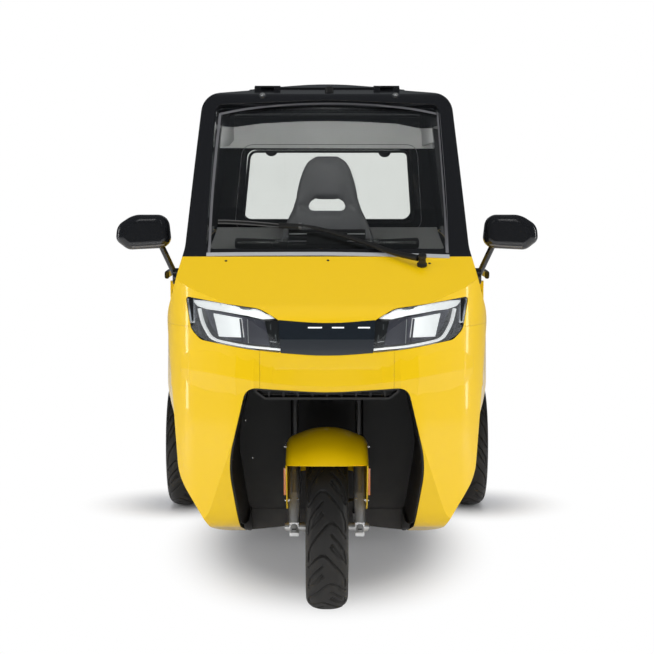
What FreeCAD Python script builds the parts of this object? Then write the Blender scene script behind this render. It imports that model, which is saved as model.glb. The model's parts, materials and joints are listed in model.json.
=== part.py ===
import FreeCAD, Part
import math
import os
import re
import Sketcher

# Enclosed electric tricycle: one steered wheel in front, two driven wheels behind,
# a hollow cabin with two hinged doors, a tilting roof panel and a boot lid.
# Millimetres. The front faces -Y, +Z is up, and the ground is Z = 0 under the middle.

os.makedirs("parts", exist_ok=True)
doc = FreeCAD.newDocument("EnclosedTricycle")
sheet = doc.addObject("Spreadsheet::Sheet", "Dimensions")
vec = FreeCAD.Vector

sizes = {
    # wheels and where they stand
    "frontAxleY": -868, "rearAxleY": 690, "wheelRadius": 236.5, "tyreWidth": 120,
    "rearTyreWidth": 112, "rearWheelX": 530, "rimRadius": 158, "rimWidth": 84,
    "hubRadius": 34, "hubHalf": 26, "spokeInner": 56, "spokeOuter": 120,
    "spokeHoleFoot": 34, "spokeHoleHead": 92, "spokeCount": 5, "axleRadius": 10,
    "discRadius": 95, "discX": 50, "discThick": 4, "discHoleRadius": 6, "discHoleOut": 76,
    # steering
    "rakeAngle": 25, "forkHalf": 95, "forkOffset": 35, "stanchionRadius": 12.5,
    "sliderRadius": 17.5, "sliderUp": 252, "collarRadius": 25, "collarHigh": 26,
    "yokeUp": 400, "yokeDeep": 78, "yokeThick": 26, "stemRadius": 16, "headTubeRadius": 28,
    "headTubeLow": 515, "headTubeHigh": 640, "barZ": 1030, "barHalf": 280, "barRadius": 11,
    "gripRadius": 17, "gripLong": 118, "guardRadius": 303, "guardWall": 4, "guardHalf": 117,
    "guardLipZ": 466, "reflectorLow": 92, "reflectorHigh": 170, "reflectorLong": 30,
    "reflectorThick": 7.7,
    # body shell
    "wallThick": 38, "panelGap": 6, "seamGap": 0.3, "noseSeamZ": 830, "bumperSeam": 184,
    "doorFrontY": -592, "doorRearY": 215, "doorFootZ": 345, "beltZ": 1022,
    "doorHingeX": 468, "doorHingeY": -579, "lowHingeZ": 640, "highHingeZ": 865,
    "knuckleRadius": 4.5, "knuckleLong": 40, "pinRadius": 2, "handleY": 110, "handleZ": 905,
    "screenFootY": -800, "screenFootZ": 1026, "screenHeadY": -478, "screenHeadZ": 1476,
    "screenFootHalf": 352, "screenHeadHalf": 336, "glassThick": 5, "glassInset": 12,
    "rearHeadY": 585, "rearHeadZ": 1484, "rearFootY": 758, "rearFootZ": 1034,
    "hatchFrontY": -330, "hatchLength": 520, "hatchHalf": 250, "hatchLift": 4,
    "hatchThick": 12, "hatchHingeUp": 6, "roofHingeX": 185, "roofPinRadius": 2.5,
    "lidFrontY": 815, "lidFootZ": 870, "lidHingeZ": 1029, "lidHalf": 330, "lidHingeX": 180,
    "archGap": 34, "archInnerX": 410, "linerWall": 4, "linerEndY": -566,
    "lipFrontY": -1090, "lipRearY": -1040, "lipRim": 6, "lipBarPitch": 40,
    "bumperRearY": 1000, "bumperTopZ": 470, "tailFrontY": 1015, "tailInnerX": 400,
    "tailFootZ": 600, "tailHeadZ": 850,
    # crease that runs round the front bumper
    "creaseOut": 8, "creaseTop": 74, "creaseFoot": 62,
    # floor, frame and battery
    "floorZ": 300, "floorThick": 24, "floorFrontY": -500, "seatRiseY": 400,
    "bootFloorZ": 545, "sheetThick": 15, "toeThick": 8, "railX": 190, "railWide": 50,
    "railHigh": 50, "frameFrontY": -555, "kickY": 425, "kickLong": 45, "upperRailZ": 345,
    "frameRearY": 995, "bracketHalf": 80, "bracketZ": 622, "bracketHigh": 26,
    "outriggerHalf": 430, "batteryHalf": 200, "batteryFrontY": -40,
    "batteryLong": 370, "batteryFootZ": 130,
    # rear axle and dampers
    "axleTubeRadius": 38, "axleTubeHalf": 440, "motorRadius": 78, "motorFromX": -70,
    "motorToX": 30, "gearRadius": 72, "gearToX": 160, "gearForward": 20, "armX": 231,
    "armHalf": 15.7, "armFootZ": 222, "damperX": 330, "damperRadius": 30,
    "damperRodRadius": 9, "damperLowZ": 320, "damperHighZ": 500, "padTopZ": 290,
    # cabin
    "seatY": 170, "seatBaseZ": 560, "seatCushion": 80, "seatHalf": 180, "seatFrontY": -200,
    "seatBoxHalf": 165, "seatBoxFrontY": -180, "seatTopZ": 1306, "backThick": 74,
    "cushionRound": 22, "rearSeatHalf": 300, "rearSeatTopZ": 640, "rearSeatFrontY": 405,
    "rearSeatLong": 165, "rearBackFrontY": 573, "rearBackThick": 39.7,
    "rearBackFootZ": 650, "rearBackHeadZ": 990, "rearBackRound": 16, "partitionY": 613,
    "partitionThick": 12, "dashFootZ": 905, "dashHeadZ": 985, "dashRearY": -480,
    # mirrors and plate carrier
    "mirrorX": 536, "mirrorY": -700, "mirrorZ": 1080, "mirrorFootY": -672,
    "mirrorFootZ": 950, "stalkRadius": 9, "mirrorDeep": 62, "carrierHalf": 130,
    "carrierFootZ": 500, "carrierHeadZ": 620, "carrierRearY": 1108, "boltHalfX": 90,
    "boltHalfZ": 30, "boltRadius": 3.2, "boltRoom": 4,
}
for number, (alias, value) in enumerate(sizes.items()):
    cell = "B%d" % (number + 1)
    sheet.set("A%d" % (number + 1), alias)
    sheet.set(cell, str(value))
    sheet.setAlias(cell, alias)
doc.recompute()


def size(alias):
    return float(sheet.get(alias))


def bound(text):
    # sheet expression for a formula written with the plain names
    words = re.split(r"([A-Za-z]+)", text)
    return "".join("Dimensions." + word if word in sizes else word for word in words)


nodes = []
reach = 700
seam = size("seamGap")


def roundedWire(points, place):
    # closed wire of lines and tangent arcs from corners (a, b, radius)
    count = len(points)
    marks = []
    for i in range(count):
        here = vec(points[i][0], points[i][1], 0)
        before = vec(points[i - 1][0], points[i - 1][1], 0)
        after = vec(points[(i + 1) % count][0], points[(i + 1) % count][1], 0)
        radius = points[i][2]
        if radius <= 0:
            marks.append((here, None, here))
            continue
        toBefore = (before - here).normalize()
        toAfter = (after - here).normalize()
        half = toBefore.getAngle(toAfter) / 2
        cut = radius / math.tan(half)
        middle = (toBefore + toAfter).normalize()
        arcMiddle = here + middle * (radius / math.sin(half) - radius)
        marks.append((here + toBefore * cut, arcMiddle, here + toAfter * cut))
    edges = []
    for i in range(count):
        start, arcMiddle, end = marks[i]
        if arcMiddle is not None:
            edges.append(Part.Arc(place(start), place(arcMiddle), place(end)).toShape())
        nextStart = marks[(i + 1) % count][0]
        if (nextStart - end).Length > 1e-6:
            edges.append(Part.makeLine(place(end), place(nextStart)))
    return Part.Wire(edges)


def inXZ(y):
    return lambda p: vec(p.x, y, p.y)


def inYZ(x):
    return lambda p: vec(x, p.x, p.y)


def inXY(z):
    return lambda p: vec(p.x, p.y, z)


def prism(points, place, along):
    return Part.Face(roundedWire(points, place)).extrude(along)


def shrunk(points, place, along, amount):
    face = Part.Face(roundedWire(points, place)).makeOffset2D(-amount)
    return face.extrude(along)


def mirrored(points):
    # full outline from its right half, given bottom to top
    return points + [(-p[0], p[1], p[2]) for p in reversed(points)]


def block(x0, x1, y0, y1, z0, z1):
    return Part.makeBox(x1 - x0, y1 - y0, z1 - z0, vec(x0, y0, z0))


def rod(radius, start, end):
    start = vec(*start)
    end = vec(*end)
    return Part.makeCylinder(radius, (end - start).Length, start, end - start)


def fused(shapes):
    whole = shapes[0].multiFuse(shapes[1:]) if len(shapes) > 1 else shapes[0]
    return whole.removeSplitter()


def flipped(shape):
    return shape.mirror(vec(0, 0, 0), vec(1, 0, 0))


def feature(label, shape):
    piece = doc.addObject("Part::Feature", label)
    piece.Label = label
    piece.Shape = shape
    piece.Placement = shape.Placement
    nodes.append(piece)


def sides(label, shape):
    # a right-hand piece at +X and its mirror image
    feature(label + "_right", shape)
    feature(label + "_left", flipped(shape))


def pair(label, shape):
    # both mirror-image solids in one piece
    feature(label, Part.makeCompound([shape, flipped(shape)]))


def boxObject(name, low, high):
    # box whose corners are formulas of the sheet
    box = doc.addObject("Part::Box", name)
    for side, axis, start, end in zip(("Length", "Width", "Height"), "xyz", low, high):
        box.setExpression(side, bound("(%s) - (%s)" % (end, start)))
        box.setExpression("Placement.Base." + axis, bound(start))
    return box


def rounded(name, base, radius):
    # the same box with all its edges rounded
    doc.recompute()
    soft = doc.addObject("Part::Fillet", name)
    soft.Base = base
    soft.Edges = [(i + 1, radius, radius) for i in range(len(base.Shape.Edges))]
    return soft


def gathered(label, parts):
    group = doc.addObject("Part::Compound", label)
    group.Label = label
    group.Links = parts
    nodes.append(group)


def profileSketch(body, name, role, rows):
    # closed sketch whose corners are held by formulas of the sheet
    plane = [f for f in body.Origin.OriginFeatures if f.Role == role][0]
    sketch = body.newObject("Sketcher::SketchObject", name)
    sketch.AttachmentSupport = [(plane, "")]
    sketch.MapMode = "FlatFace"
    spots = [[float(sheet.evalExpression(text)) for text in row] for row in rows]
    for i in range(len(spots)):
        start = vec(spots[i][0], spots[i][1], 0)
        end = vec(*spots[(i + 1) % len(spots)], 0)
        sketch.addGeometry(Part.LineSegment(start, end), False)
    for i in range(len(spots)):
        sketch.addConstraint(Sketcher.Constraint("Coincident", i, 2, (i + 1) % len(spots), 1))
    for i, row in enumerate(rows):
        for kind, value, text in (
            ("DistanceX", spots[i][0], row[0]),
            ("DistanceY", spots[i][1], row[1]),
        ):
            held = sketch.addConstraint(Sketcher.Constraint(kind, -1, 1, i, 1, value))
            sketch.setExpression("Constraints[%d]" % held, bound(text))
    return sketch


def newBody(label):
    body = doc.addObject("PartDesign::Body", label)
    body.Label = label
    return body


def turned(body, rows, role="XY_Plane", axis="H_Axis"):
    # revolution of (across, radius) rows about the body's own X axis
    sketch = profileSketch(body, body.Label + "_profile", role, rows)
    spin = body.newObject("PartDesign::Revolution", body.Label + "_spin")
    spin.Profile = sketch
    spin.ReferenceAxis = (sketch, [axis])
    spin.Angle = 360
    return spin


def ringOfCuts(body, sketch, count):
    # a pocket through the whole body, repeated round its X axis
    cut = body.newObject("PartDesign::Pocket", body.Label + "_cut")
    cut.Profile = sketch
    cut.Type = 1
    cut.Midplane = True
    body.Tip = cut
    doc.recompute()
    ring = body.newObject("PartDesign::PolarPattern", body.Label + "_ring")
    ring.Originals = [cut]
    ring.Axis = (sketch, ["N_Axis"])
    ring.Angle = 360
    ring.Occurrences = int(count)
    body.Tip = ring


# wheels

frontAxle = vec(0, size("frontAxleY"), size("wheelRadius"))
wheels = [
    # name, centre, tyre width
    ("front", frontAxle, "tyreWidth"),
    ("rear_left", vec(-size("rearWheelX"), size("rearAxleY"), size("wheelRadius")),
     "rearTyreWidth"),
    ("rear_right", vec(size("rearWheelX"), size("rearAxleY"), size("wheelRadius")),
     "rearTyreWidth"),
]


def tyreRows(width):
    half = width + "/2"
    right = [
        # across, radius, from the bead to the crown
        ("rimWidth/2 - 3", "rimRadius - 7"),
        ("rimWidth/2 - 3", "rimRadius + seamGap"),
        ("rimWidth/2 + 6", "rimRadius + 6"),
        (half, "rimRadius + 36"),
        (half + " - 2", "rimRadius + 50"),
        (half + " - 16", "wheelRadius - 10"),
        (half + " - 36", "wheelRadius - 2"),
        (half + " - 52", "wheelRadius"),
    ]
    return right + [("-(%s)" % across, radius) for across, radius in reversed(right)]


rimRight = [
    # across, radius, from the hub's bore out to the flange
    ("hubHalf", "axleRadius + 1"),
    ("hubHalf", "hubRadius"),
    ("7", "hubRadius + 12"),
    ("10", "rimRadius - 30"),
    ("rimWidth/2 - 6", "rimRadius - 22"),
    ("rimWidth/2", "rimRadius - 22"),
    ("rimWidth/2", "rimRadius"),
    ("rimWidth/2 - 2.7", "rimRadius"),
    ("rimWidth/2 - 2.7", "rimRadius - 7.3"),
]
rimRows = rimRight + [("-(%s)" % across, radius) for across, radius in reversed(rimRight)]
spokeHole = [
    ("-spokeHoleFoot/2", "spokeInner"), ("spokeHoleFoot/2", "spokeInner"),
    ("spokeHoleHead/2", "spokeOuter - 14"), ("spokeHoleHead/2 - 18", "spokeOuter"),
    ("-spokeHoleHead/2 + 18", "spokeOuter"), ("-spokeHoleHead/2", "spokeOuter - 14"),
]
for name, centre, width in wheels:
    tyre = newBody("tyre_" + name)
    turned(tyre, tyreRows(width))
    tyre.Placement.Base = centre
    rim = newBody("rim_" + name)
    turned(rim, rimRows)
    ringOfCuts(rim, profileSketch(rim, rim.Label + "_hole", "YZ_Plane", spokeHole),
               size("spokeCount"))
    rim.Placement.Base = centre
    nodes += [tyre, rim]

# fork lines: the legs lean back by the rake, the steering axis runs behind them

rake = math.radians(size("rakeAngle"))
upFork = vec(0, math.sin(rake), math.cos(rake))
axisFoot = frontAxle + vec(0, math.cos(rake), -math.sin(rake)) * size("forkOffset")


def onLeg(side, along):
    return frontAxle + vec(side * size("forkHalf"), 0, 0) + upFork * along


def onAxis(along):
    return axisFoot + upFork * along


# outer skin of the body: cross-sections along Y, trimmed by the side and plan outlines

stations = [
    # y, footHalf, footZ, lowHalf, lowZ, waistHalf, waistZ, beltHalf, gutterHalf, roofZ
    (-1130, 285, 205, 405, 400, 436, 850, 396, 352, 1526),
    (-700, 322, 205, 440, 400, 470, 850, 414, 371, 1526),
    (0, 400, 205, 515, 430, 525, 780, 434, 382, 1530),
    (620, 470, 215, 586, 470, 580, 700, 446, 382, 1520),
    (1130, 440, 250, 540, 470, 540, 700, 434, 364, 1500),
]
sideProfile = [
    # y, z, radius
    (-1096, 625, 30),
    (-1118, 770, 60),
    (-1100, 880, 90),
    (size("screenFootY"), size("screenFootZ"), 60),
    (size("screenHeadY"), size("screenHeadZ") + 14, 50),
    (-200, 1530, 900),
    (300, 1526, 700),
    (size("rearHeadY"), size("rearHeadZ"), 110),
    (size("rearFootY"), size("rearFootZ"), 70),
    (1062, 980, 70),
    (1100, 700, 120),
    (1092, 420, 90),
    (1000, 262, 60),
    (820, 262, 30),
    (560, 205, 30),
    (-770, 205, 90),
    (-1010, 268, 90),
]
planProfile = mirrored([
    # x, y, radius
    (205, -1112, 260),
    (446, -935, 220),
    (505, -500, 400),
    (600, 500, 300),
    (600, 900, 160),
    (500, 1100, 150),
])


def sectionWire(row, inset):
    y, footHalf, footZ, lowHalf, lowZ, waistHalf, waistZ, beltHalf, gutterHalf, roofZ = row
    half = [
        (footHalf, footZ, 90),
        (lowHalf, lowZ, 160),
        (waistHalf, waistZ, 200),
        (beltHalf, size("beltZ") + 20, 140),
        (gutterHalf, roofZ - 36, 62),
    ]
    outline = mirrored(half)
    outline.insert(len(half), (0, roofZ, 900))
    face = Part.Face(roundedWire(outline, inXZ(y)))
    if inset:
        face = face.makeOffset2D(-inset)
    return face.OuterWire


def envelope(inset):
    loft = Part.makeLoft([sectionWire(row, inset) for row in stations], True, False)
    side = Part.Face(roundedWire(sideProfile, inYZ(-reach)))
    plan = Part.Face(roundedWire(planProfile, inXY(0)))
    if inset:
        side = side.makeOffset2D(-inset)
        plan = plan.makeOffset2D(-inset)
    loft = loft.common(side.extrude(vec(2 * reach, 0, 0)))
    return loft.common(plan.extrude(vec(0, 0, 4 * reach)))


outerSkin = envelope(0)
innerSkin = envelope(size("wallThick"))


def skinX(y, z):
    line = Part.makeLine(vec(0, y, z), vec(reach + 200, y, z))
    return line.common(outerSkin).BoundBox.XMax


def skinY(x, z):
    line = Part.makeLine(vec(x, -2 * reach, z), vec(x, 0, z))
    return line.common(outerSkin).BoundBox.YMin


def skinTop(x, y):
    line = Part.makeLine(vec(x, y, reach), vec(x, y, 3 * reach))
    return line.common(outerSkin).BoundBox.ZMax


# the bumper's crease: a low wedge laid round the front, highest along its own line

creaseLine = [
    # x, z of the crease, share of its full height
    (0, 676, 1.0),
    (80, 679, 1.0),
    (150, 686, 1.0),
    (200, 692, 1.0),
    (250, 698, 1.0),
    (300, 703, 0.95),
    (345, 706.5, 0.85),
    (385, 709, 0.6),
    (412, 711, 0.25),
]


def creaseSection(x, z, share):
    side = 1 if x >= 0 else -1
    x = abs(x)
    step = 12
    y = skinY(x, z)
    slope = (skinY(x + step, z) - skinY(max(x - step, 0), z)) / (step + min(step, x))
    out = vec(slope, -1, 0).normalize()
    apex = vec(x, y, z) + out * (size("creaseOut") * share)
    top = vec(x, skinY(x, z + size("creaseTop")), z + size("creaseTop")) - out * 1.5
    foot = vec(x, skinY(x, z - size("creaseFoot")), z - size("creaseFoot")) - out * 1.5
    deep = vec(x, y, z) - out * 22
    corners = [vec(side * p.x, p.y, p.z) for p in (apex, top, deep, foot, apex)]
    return Part.makePolygon(corners)


creaseRows = [(-x, z, share) for x, z, share in reversed(creaseLine[1:])] + creaseLine
crease = Part.makeLoft([creaseSection(*row) for row in creaseRows], True, True)
shell = outerSkin.fuse(crease).cut(innerSkin)

# openings in the shell

gap = size("panelGap")
belt = size("beltZ")
glass = size("glassThick")
doorOutline = [
    (size("doorFrontY"), size("doorFootZ"), 50),
    (size("doorFrontY"), belt + 10, 30),
    (-390, 1425, 40),
    (150, 1438, 50),
    (size("doorRearY"), belt, 60),
    (size("doorRearY"), size("doorFootZ") + 60, 60),
    (size("doorRearY") - 90, size("doorFootZ"), 60),
]
doorWindow = [
    (-520, belt + 45, 30),
    (-345, 1385, 30),
    (110, 1396, 40),
    (150, belt + 45, 40),
]
sideways = vec(500, 0, 0)
doorHole = prism(doorOutline, inYZ(300), sideways)
doorFill = shrunk(doorOutline, inYZ(300), sideways, gap)
paneFill = shrunk(doorWindow, inYZ(300), sideways, 0.5)
paneHole = prism(doorWindow, inYZ(300), sideways)
bothDoorHoles = fused([doorHole, flipped(doorHole)])

screenFoot = vec(0, size("screenFootY"), size("screenFootZ"))
screenHead = vec(0, size("screenHeadY"), size("screenHeadZ"))
upGlass = (screenHead - screenFoot).normalize()
outGlass = vec(0, -upGlass.z, upGlass.y)
screenLength = (screenHead - screenFoot).Length


def onScreen(lift):
    return lambda p: screenFoot + vec(p.x, 0, 0) + upGlass * p.y + outGlass * lift


screenOutline = mirrored([
    (size("screenFootHalf"), 14, 22), (size("screenHeadHalf"), screenLength - 26, 22),
])
screenOutline.insert(2, (0, screenLength - 8, 900))
screenHole = prism(screenOutline, onScreen(-160), outGlass * 260)

rearWindowOutline = mirrored([(312, 1066, 30), (290, 1322, 30)])
rearWindowHole = prism(rearWindowOutline, inXZ(500), vec(0, 420, 0))

axleY = size("rearAxleY")
axleZ = size("wheelRadius")
archInner = size("archInnerX")
archRadius = axleZ + size("archGap")
archSide = fused([
    rod(archRadius, (archInner, axleY, axleZ), (reach, axleY, axleZ)),
    block(archInner, reach, axleY - archRadius, axleY + archRadius, 0, axleZ),
])
rearArch = fused([archSide, flipped(archSide)])
frontArchOutline = mirrored([
    (222, 100, 0), (238, 215, 60), (276, 450, 300), (223, 673, 36),
])
frontArchOutline.insert(4, (0, 659, 900))
frontArch = prism(frontArchOutline, inXZ(-1200), vec(0, 640, 0))

# lamps, dark band and yellow panels of the nose

noseSeam = size("noseSeamZ")
noseRearY = size("doorFrontY")
halfBumper = size("bumperSeam")
lampOutline = [
    # x, z, radius
    (396, 914, 8), (185, 888, 80), (134, 859, 6), (127, 770, 4), (220, 778.5, 600),
    (352, 795, 30), (380, 822, 40),
]
bandOutline = [
    (126.4, 769.6, 2), (133.4, 858.6, 2), (0, 848, 900), (-133.4, 858.6, 2),
    (-126.4, 769.6, 2), (0, 760, 900),
]
inward = vec(0, 560, 0)
lampFill = prism(lampOutline, inXZ(-1300), inward)
lampPocket = shrunk(lampOutline, inXZ(-1300), inward, -seam)
bandFill = prism(bandOutline, inXZ(-1300), inward)
bandPocket = shrunk(bandOutline, inXZ(-1300), inward, -seam)
pair("headlamps", shell.common(lampFill))
feature("centre_band", shell.common(bandFill))

greenhouse = prism([
    (-860, belt - 8, 0), (-700, belt + 2, 0), (772, belt + 2, 0), (772, 1700, 0),
    (-700, 1700, 0),
], inYZ(-reach), vec(2 * reach, 0, 0))
frontShell = shell.cut(frontArch).cut(bothDoorHoles).cut(bandPocket)
frontShell = frontShell.cut(lampPocket).cut(flipped(lampPocket))
nose = frontShell.common(block(-reach, reach, -1300, noseRearY, noseSeam, belt + 60))
nose = nose.cut(greenhouse)
lower = frontShell.common(block(-reach, reach, -1300, noseRearY, 0, noseSeam - seam))
feature("front_bumper", lower.common(block(-halfBumper, halfBumper, -1300, -900, 600, noseSeam)))
fender = lower.common(block(halfBumper + seam, reach, -1300, noseRearY, 0, noseSeam))

# black upper shell with the tilting roof panel

canopy = shell.common(greenhouse).cut(bothDoorHoles).cut(screenHole).cut(rearWindowHole)
hatchFront = size("hatchFrontY")
hatchRear = hatchFront + size("hatchLength")
hatchHalf = size("hatchHalf")
hatchOutline = [
    (hatchHalf, hatchFront, 40), (hatchHalf, hatchRear, 40), (-hatchHalf, hatchRear, 40),
    (-hatchHalf, hatchFront, 40),
]
hatchHole = prism(hatchOutline, inXY(1400), vec(0, 0, 300))
raisedSkin = outerSkin.copy()
raisedSkin.translate(vec(0, 0, size("hatchLift")))
loweredSkin = outerSkin.copy()
loweredSkin.translate(vec(0, 0, size("hatchLift") - size("hatchThick")))
hatch = shrunk(hatchOutline, inXY(1400), vec(0, 0, 300), gap).common(raisedSkin)
hatch = hatch.cut(loweredSkin)


def lidHinges(lid, centreX, y, z, pin, leafLid, leafBody):
    # two piano-hinge sections along X: knuckles on the lid, outer knuckles and pins
    fixed = []
    half = size("knuckleLong") / 2
    outer = half - 0.3
    for x in (-centreX, centreX):
        lid = lid.fuse([
            rod(2 * pin, (x - half, y, z), (x + half, y, z)), leafLid(x - half, x + half),
        ])
        for start in (x - half - outer - 0.3, x + half + 0.3):
            fixed.append(rod(2 * pin, (start, y, z), (start + outer, y, z)))
            fixed.append(leafBody(start, start + outer))
        fixed.append(rod(pin, (x - half - outer, y, z), (x + half + outer, y, z)))
    for x in (-centreX, centreX):
        lid = lid.cut(rod(pin + 0.3, (x - half - 0.2, y, z), (x + half + 0.2, y, z)))
    return lid, fixed


hatchY = hatchFront - gap
hatchZ = skinTop(size("roofHingeX"), hatchY) + size("hatchHingeUp")
hatch, roofKnuckles = lidHinges(
    hatch, size("roofHingeX"), hatchY, hatchZ, size("roofPinRadius"),
    lambda a, b: block(a, b, hatchY, hatchFront + 40, hatchZ - 5, hatchZ + 3),
    lambda a, b: block(a, b, hatchY - 26, hatchY, hatchZ - 20, hatchZ),
)
print("roof hinge at", 0, hatchY, hatchZ)
feature("sunroof", hatch)
feature("roof_shell", fused([canopy.cut(hatchHole)] + roofKnuckles))
inset = size("glassInset")
feature("windscreen", shrunk(screenOutline, onScreen(-inset - glass), outGlass * glass, seam))

# doors: the leading edge stands on the hinge line so that it turns clear of the fender

hingeX = size("doorHingeX")
hingeY = size("doorHingeY")
knuckle = size("knuckleRadius")
pin = size("pinRadius")
long = size("knuckleLong")
doorPanel = shell.common(doorFill)
door = doorPanel.cut(paneHole).cut(block(300, reach, -reach, hingeY - 1, 0, 2000))
bodyHinges = []
for z in (size("lowHingeZ"), size("highHingeZ")):
    leafX = min(skinX(hingeY, z + up) for up in (-25, 20, 65)) - 16
    for start in (z - 25, z + long + 0.3):
        door = door.cut(block(hingeX - 30, hingeX + 30, hingeY - 20, hingeY + 9,
                              start - 4, start + 28.7))
        bodyHinges += [
            rod(knuckle, (hingeX, hingeY, start), (hingeX, hingeY, start + 24.7)),
            block(leafX, hingeX, hingeY - 40, hingeY - 2, start, start + 24.7),
        ]
    bodyHinges.append(rod(pin, (hingeX, hingeY, z - 25), (hingeX, hingeY, z + long + 25)))
    door = door.fuse([
        rod(knuckle, (hingeX, hingeY, z), (hingeX, hingeY, z + long)),
        block(leafX, hingeX, hingeY, hingeY + 44, z, z + long),
    ])
for z in (size("lowHingeZ"), size("highHingeZ")):
    door = door.cut(rod(pin + 0.3, (hingeX, hingeY, z - 1), (hingeX, hingeY, z + long + 1)))
handleY = size("handleY")
handleZ = size("handleZ")
handleX = skinX(handleY, handleZ)
handle = fused([
    block(handleX - 14, handleX + 24, handleY + y, handleY + y + 16, handleZ - 9, handleZ + 7)
    for y in (-50, 34)
] + [block(handleX + 18, handleX + 32, handleY - 64, handleY + 64, handleZ - 11, handleZ + 9)])
sides("door", door.fuse(handle))
lowHinges = [k for k in bodyHinges if k.BoundBox.ZMax < noseSeam]
highHinges = [k for k in bodyHinges if k.BoundBox.ZMax > noseSeam]
pair("front_fenders", fused([fender] + lowHinges))
feature("nose_panel", fused([nose] + highHinges + [flipped(k) for k in highHinges]))

paneEdges = [
    # y, half width at the belt, half width at the gutter
    (-560, 404, 357),
    (190, 421, 368),
]
paneWires = []
for y, low, high in paneEdges:
    corners = [(low, belt + 8, 0), (low + glass, belt + 8, 0), (high + glass, 1430, 0),
               (high, 1430, 0)]
    paneWires.append(roundedWire(corners, inXZ(y)))
sides("door_glass", Part.makeLoft(paneWires, True, True).common(paneFill))

# rear body, boot lid, bumper, lamps and window

bumperY = size("bumperRearY")
bumperZ = size("bumperTopZ")
tailX = size("tailInnerX")
tailY = size("tailFrontY")
tailLow = size("tailFootZ")
tailHigh = size("tailHeadZ")
lidHalf = size("lidHalf")
lidFront = size("lidFrontY")
lidFoot = size("lidFootZ")


def tailOutline(inset):
    return [(tailX + inset, tailLow + inset, 20), (tailX + inset, tailHigh - inset, 20),
            (reach, tailHigh - inset, 0), (reach, tailLow + inset, 0)]


tailPocket = prism(tailOutline(0), inXZ(tailY), vec(0, 300, 0))
rearBody = shell.common(block(-reach, reach, noseRearY, 1300, 0, belt)).cut(greenhouse)
rearBody = rearBody.cut(bothDoorHoles).cut(rearArch)
rearBody = rearBody.cut(block(-lidHalf, lidHalf, lidFront, 1300, lidFoot, 1200))
rearBody = rearBody.cut(block(-reach, reach, bumperY, 1300, 0, bumperZ))
rearBody = rearBody.cut(tailPocket).cut(flipped(tailPocket))
rearBody = rearBody.cut(block(-440, 440, noseRearY, 1300, 0, 330))
plateBolts = [
    (x * size("boltHalfX"), (size("carrierFootZ") + size("carrierHeadZ")) / 2
     + z * size("boltHalfZ"))
    for x in (-1, 1) for z in (-1, 1)
]
for x, z in plateBolts:
    rearBody = rearBody.cut(rod(size("boltRoom"), (x, bumperY, z), (x, 1130, z)))
lidY = lidFront + 3
lidZ = size("lidHingeZ")
lid = shell.common(block(-lidHalf + gap, lidHalf - gap, lidFront + gap, 1300,
                         lidFoot + gap, 1200))
lid, lidKnuckles = lidHinges(
    lid, size("lidHingeX"), lidY, lidZ, size("roofPinRadius"),
    lambda a, b: block(a, b, lidY, lidY + 32, lidZ - 17, lidZ - 2),
    lambda a, b: block(a, b, lidY - 32, lidY, lidZ - 17, lidZ - 2),
)
feature("boot_lid", lid)
feature("rear_body", fused([rearBody] + lidKnuckles))
rearBumper = shell.common(block(-reach, reach, bumperY + seam, 1300, 0, bumperZ - seam))
feature("rear_bumper", rearBumper.cut(rearArch))
pair("tail_lamps", shell.common(prism(tailOutline(seam), inXZ(tailY + seam), vec(0, 300, 0))))

rearHead = vec(0, size("rearHeadY"), size("rearHeadZ"))
rearFoot = vec(0, size("rearFootY"), size("rearFootZ"))
downRear = (rearFoot - rearHead).normalize()
outRear = vec(0, -downRear.z, downRear.y)
paneHead = rearHead - outRear * inset
paneFoot = rearFoot - outRear * inset
rearSheet = Part.Face(Part.makePolygon([
    paneHead + vec(-400, 0, 0), paneHead + vec(400, 0, 0), paneFoot + vec(400, 0, 0),
    paneFoot + vec(-400, 0, 0), paneHead + vec(-400, 0, 0),
])).extrude(outRear * -glass)
feature("rear_window", rearSheet.common(
    shrunk(rearWindowOutline, inXZ(500), vec(0, 420, 0), seam)))

# floor, frame and battery

floorZ = size("floorZ")
floorTop = floorZ + size("floorThick")
inner = envelope(size("wallThick") + gap)
riseY = size("seatRiseY")
bootZ = size("bootFloorZ")
sheetThick = size("sheetThick")
toeY = size("floorFrontY")
dashFoot = size("dashFootZ")
floorParts = [
    inner.common(block(-reach, reach, toeY, riseY + sheetThick, floorZ, floorTop)),
    inner.common(block(-reach, reach, riseY, riseY + sheetThick, floorZ, bootZ + sheetThick)),
    inner.common(block(-reach, reach, riseY, 1070, bootZ, bootZ + sheetThick)),
    inner.common(block(-reach, reach, toeY, toeY + size("toeThick"), floorZ, dashFoot - seam)),
]
feature("floor_pan", fused(floorParts).cut(rearArch))

railX = size("railX")
railHalf = size("railWide") / 2
railFoot = floorZ - size("railHigh")
frameFront = size("frameFrontY")
frameRear = size("frameRearY")
kickY = size("kickY")
kick = size("kickLong")
upperZ = size("upperRailZ")
frame = []
for side in (-1, 1):
    left = side * railX - railHalf
    right = side * railX + railHalf
    frame += [
        block(left, right, frameFront, kickY + kick, railFoot, floorZ),
        block(left, right, kickY, kickY + kick, railFoot, bootZ),
        block(left, right, kickY, frameRear, upperZ, upperZ + size("railHigh")),
        block(left, right, frameRear - kick, frameRear, upperZ, bootZ),
        block(left, right, kickY, kickY + kick - 5, railFoot - 35, railFoot + 5),
        rod(15, (side * 120, frameFront + 25, 280), (side * 60, frameFront + 6, 720)),
        rod(15, (side * 60, frameFront + 6, 720), (0, frameFront - 45, 730)),
    ]
for y in (frameFront, -100, 370):
    frame.append(block(-railX, railX, y, y + size("railWide"), railFoot, floorZ))
frame.append(block(-railX, railX, frameRear - kick, frameRear, upperZ,
                   upperZ + size("railHigh")))
for y in (-450, 250):
    frame.append(block(-size("outriggerHalf"), size("outriggerHalf"), y, y + 40,
                       railFoot + 8, floorZ))
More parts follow.
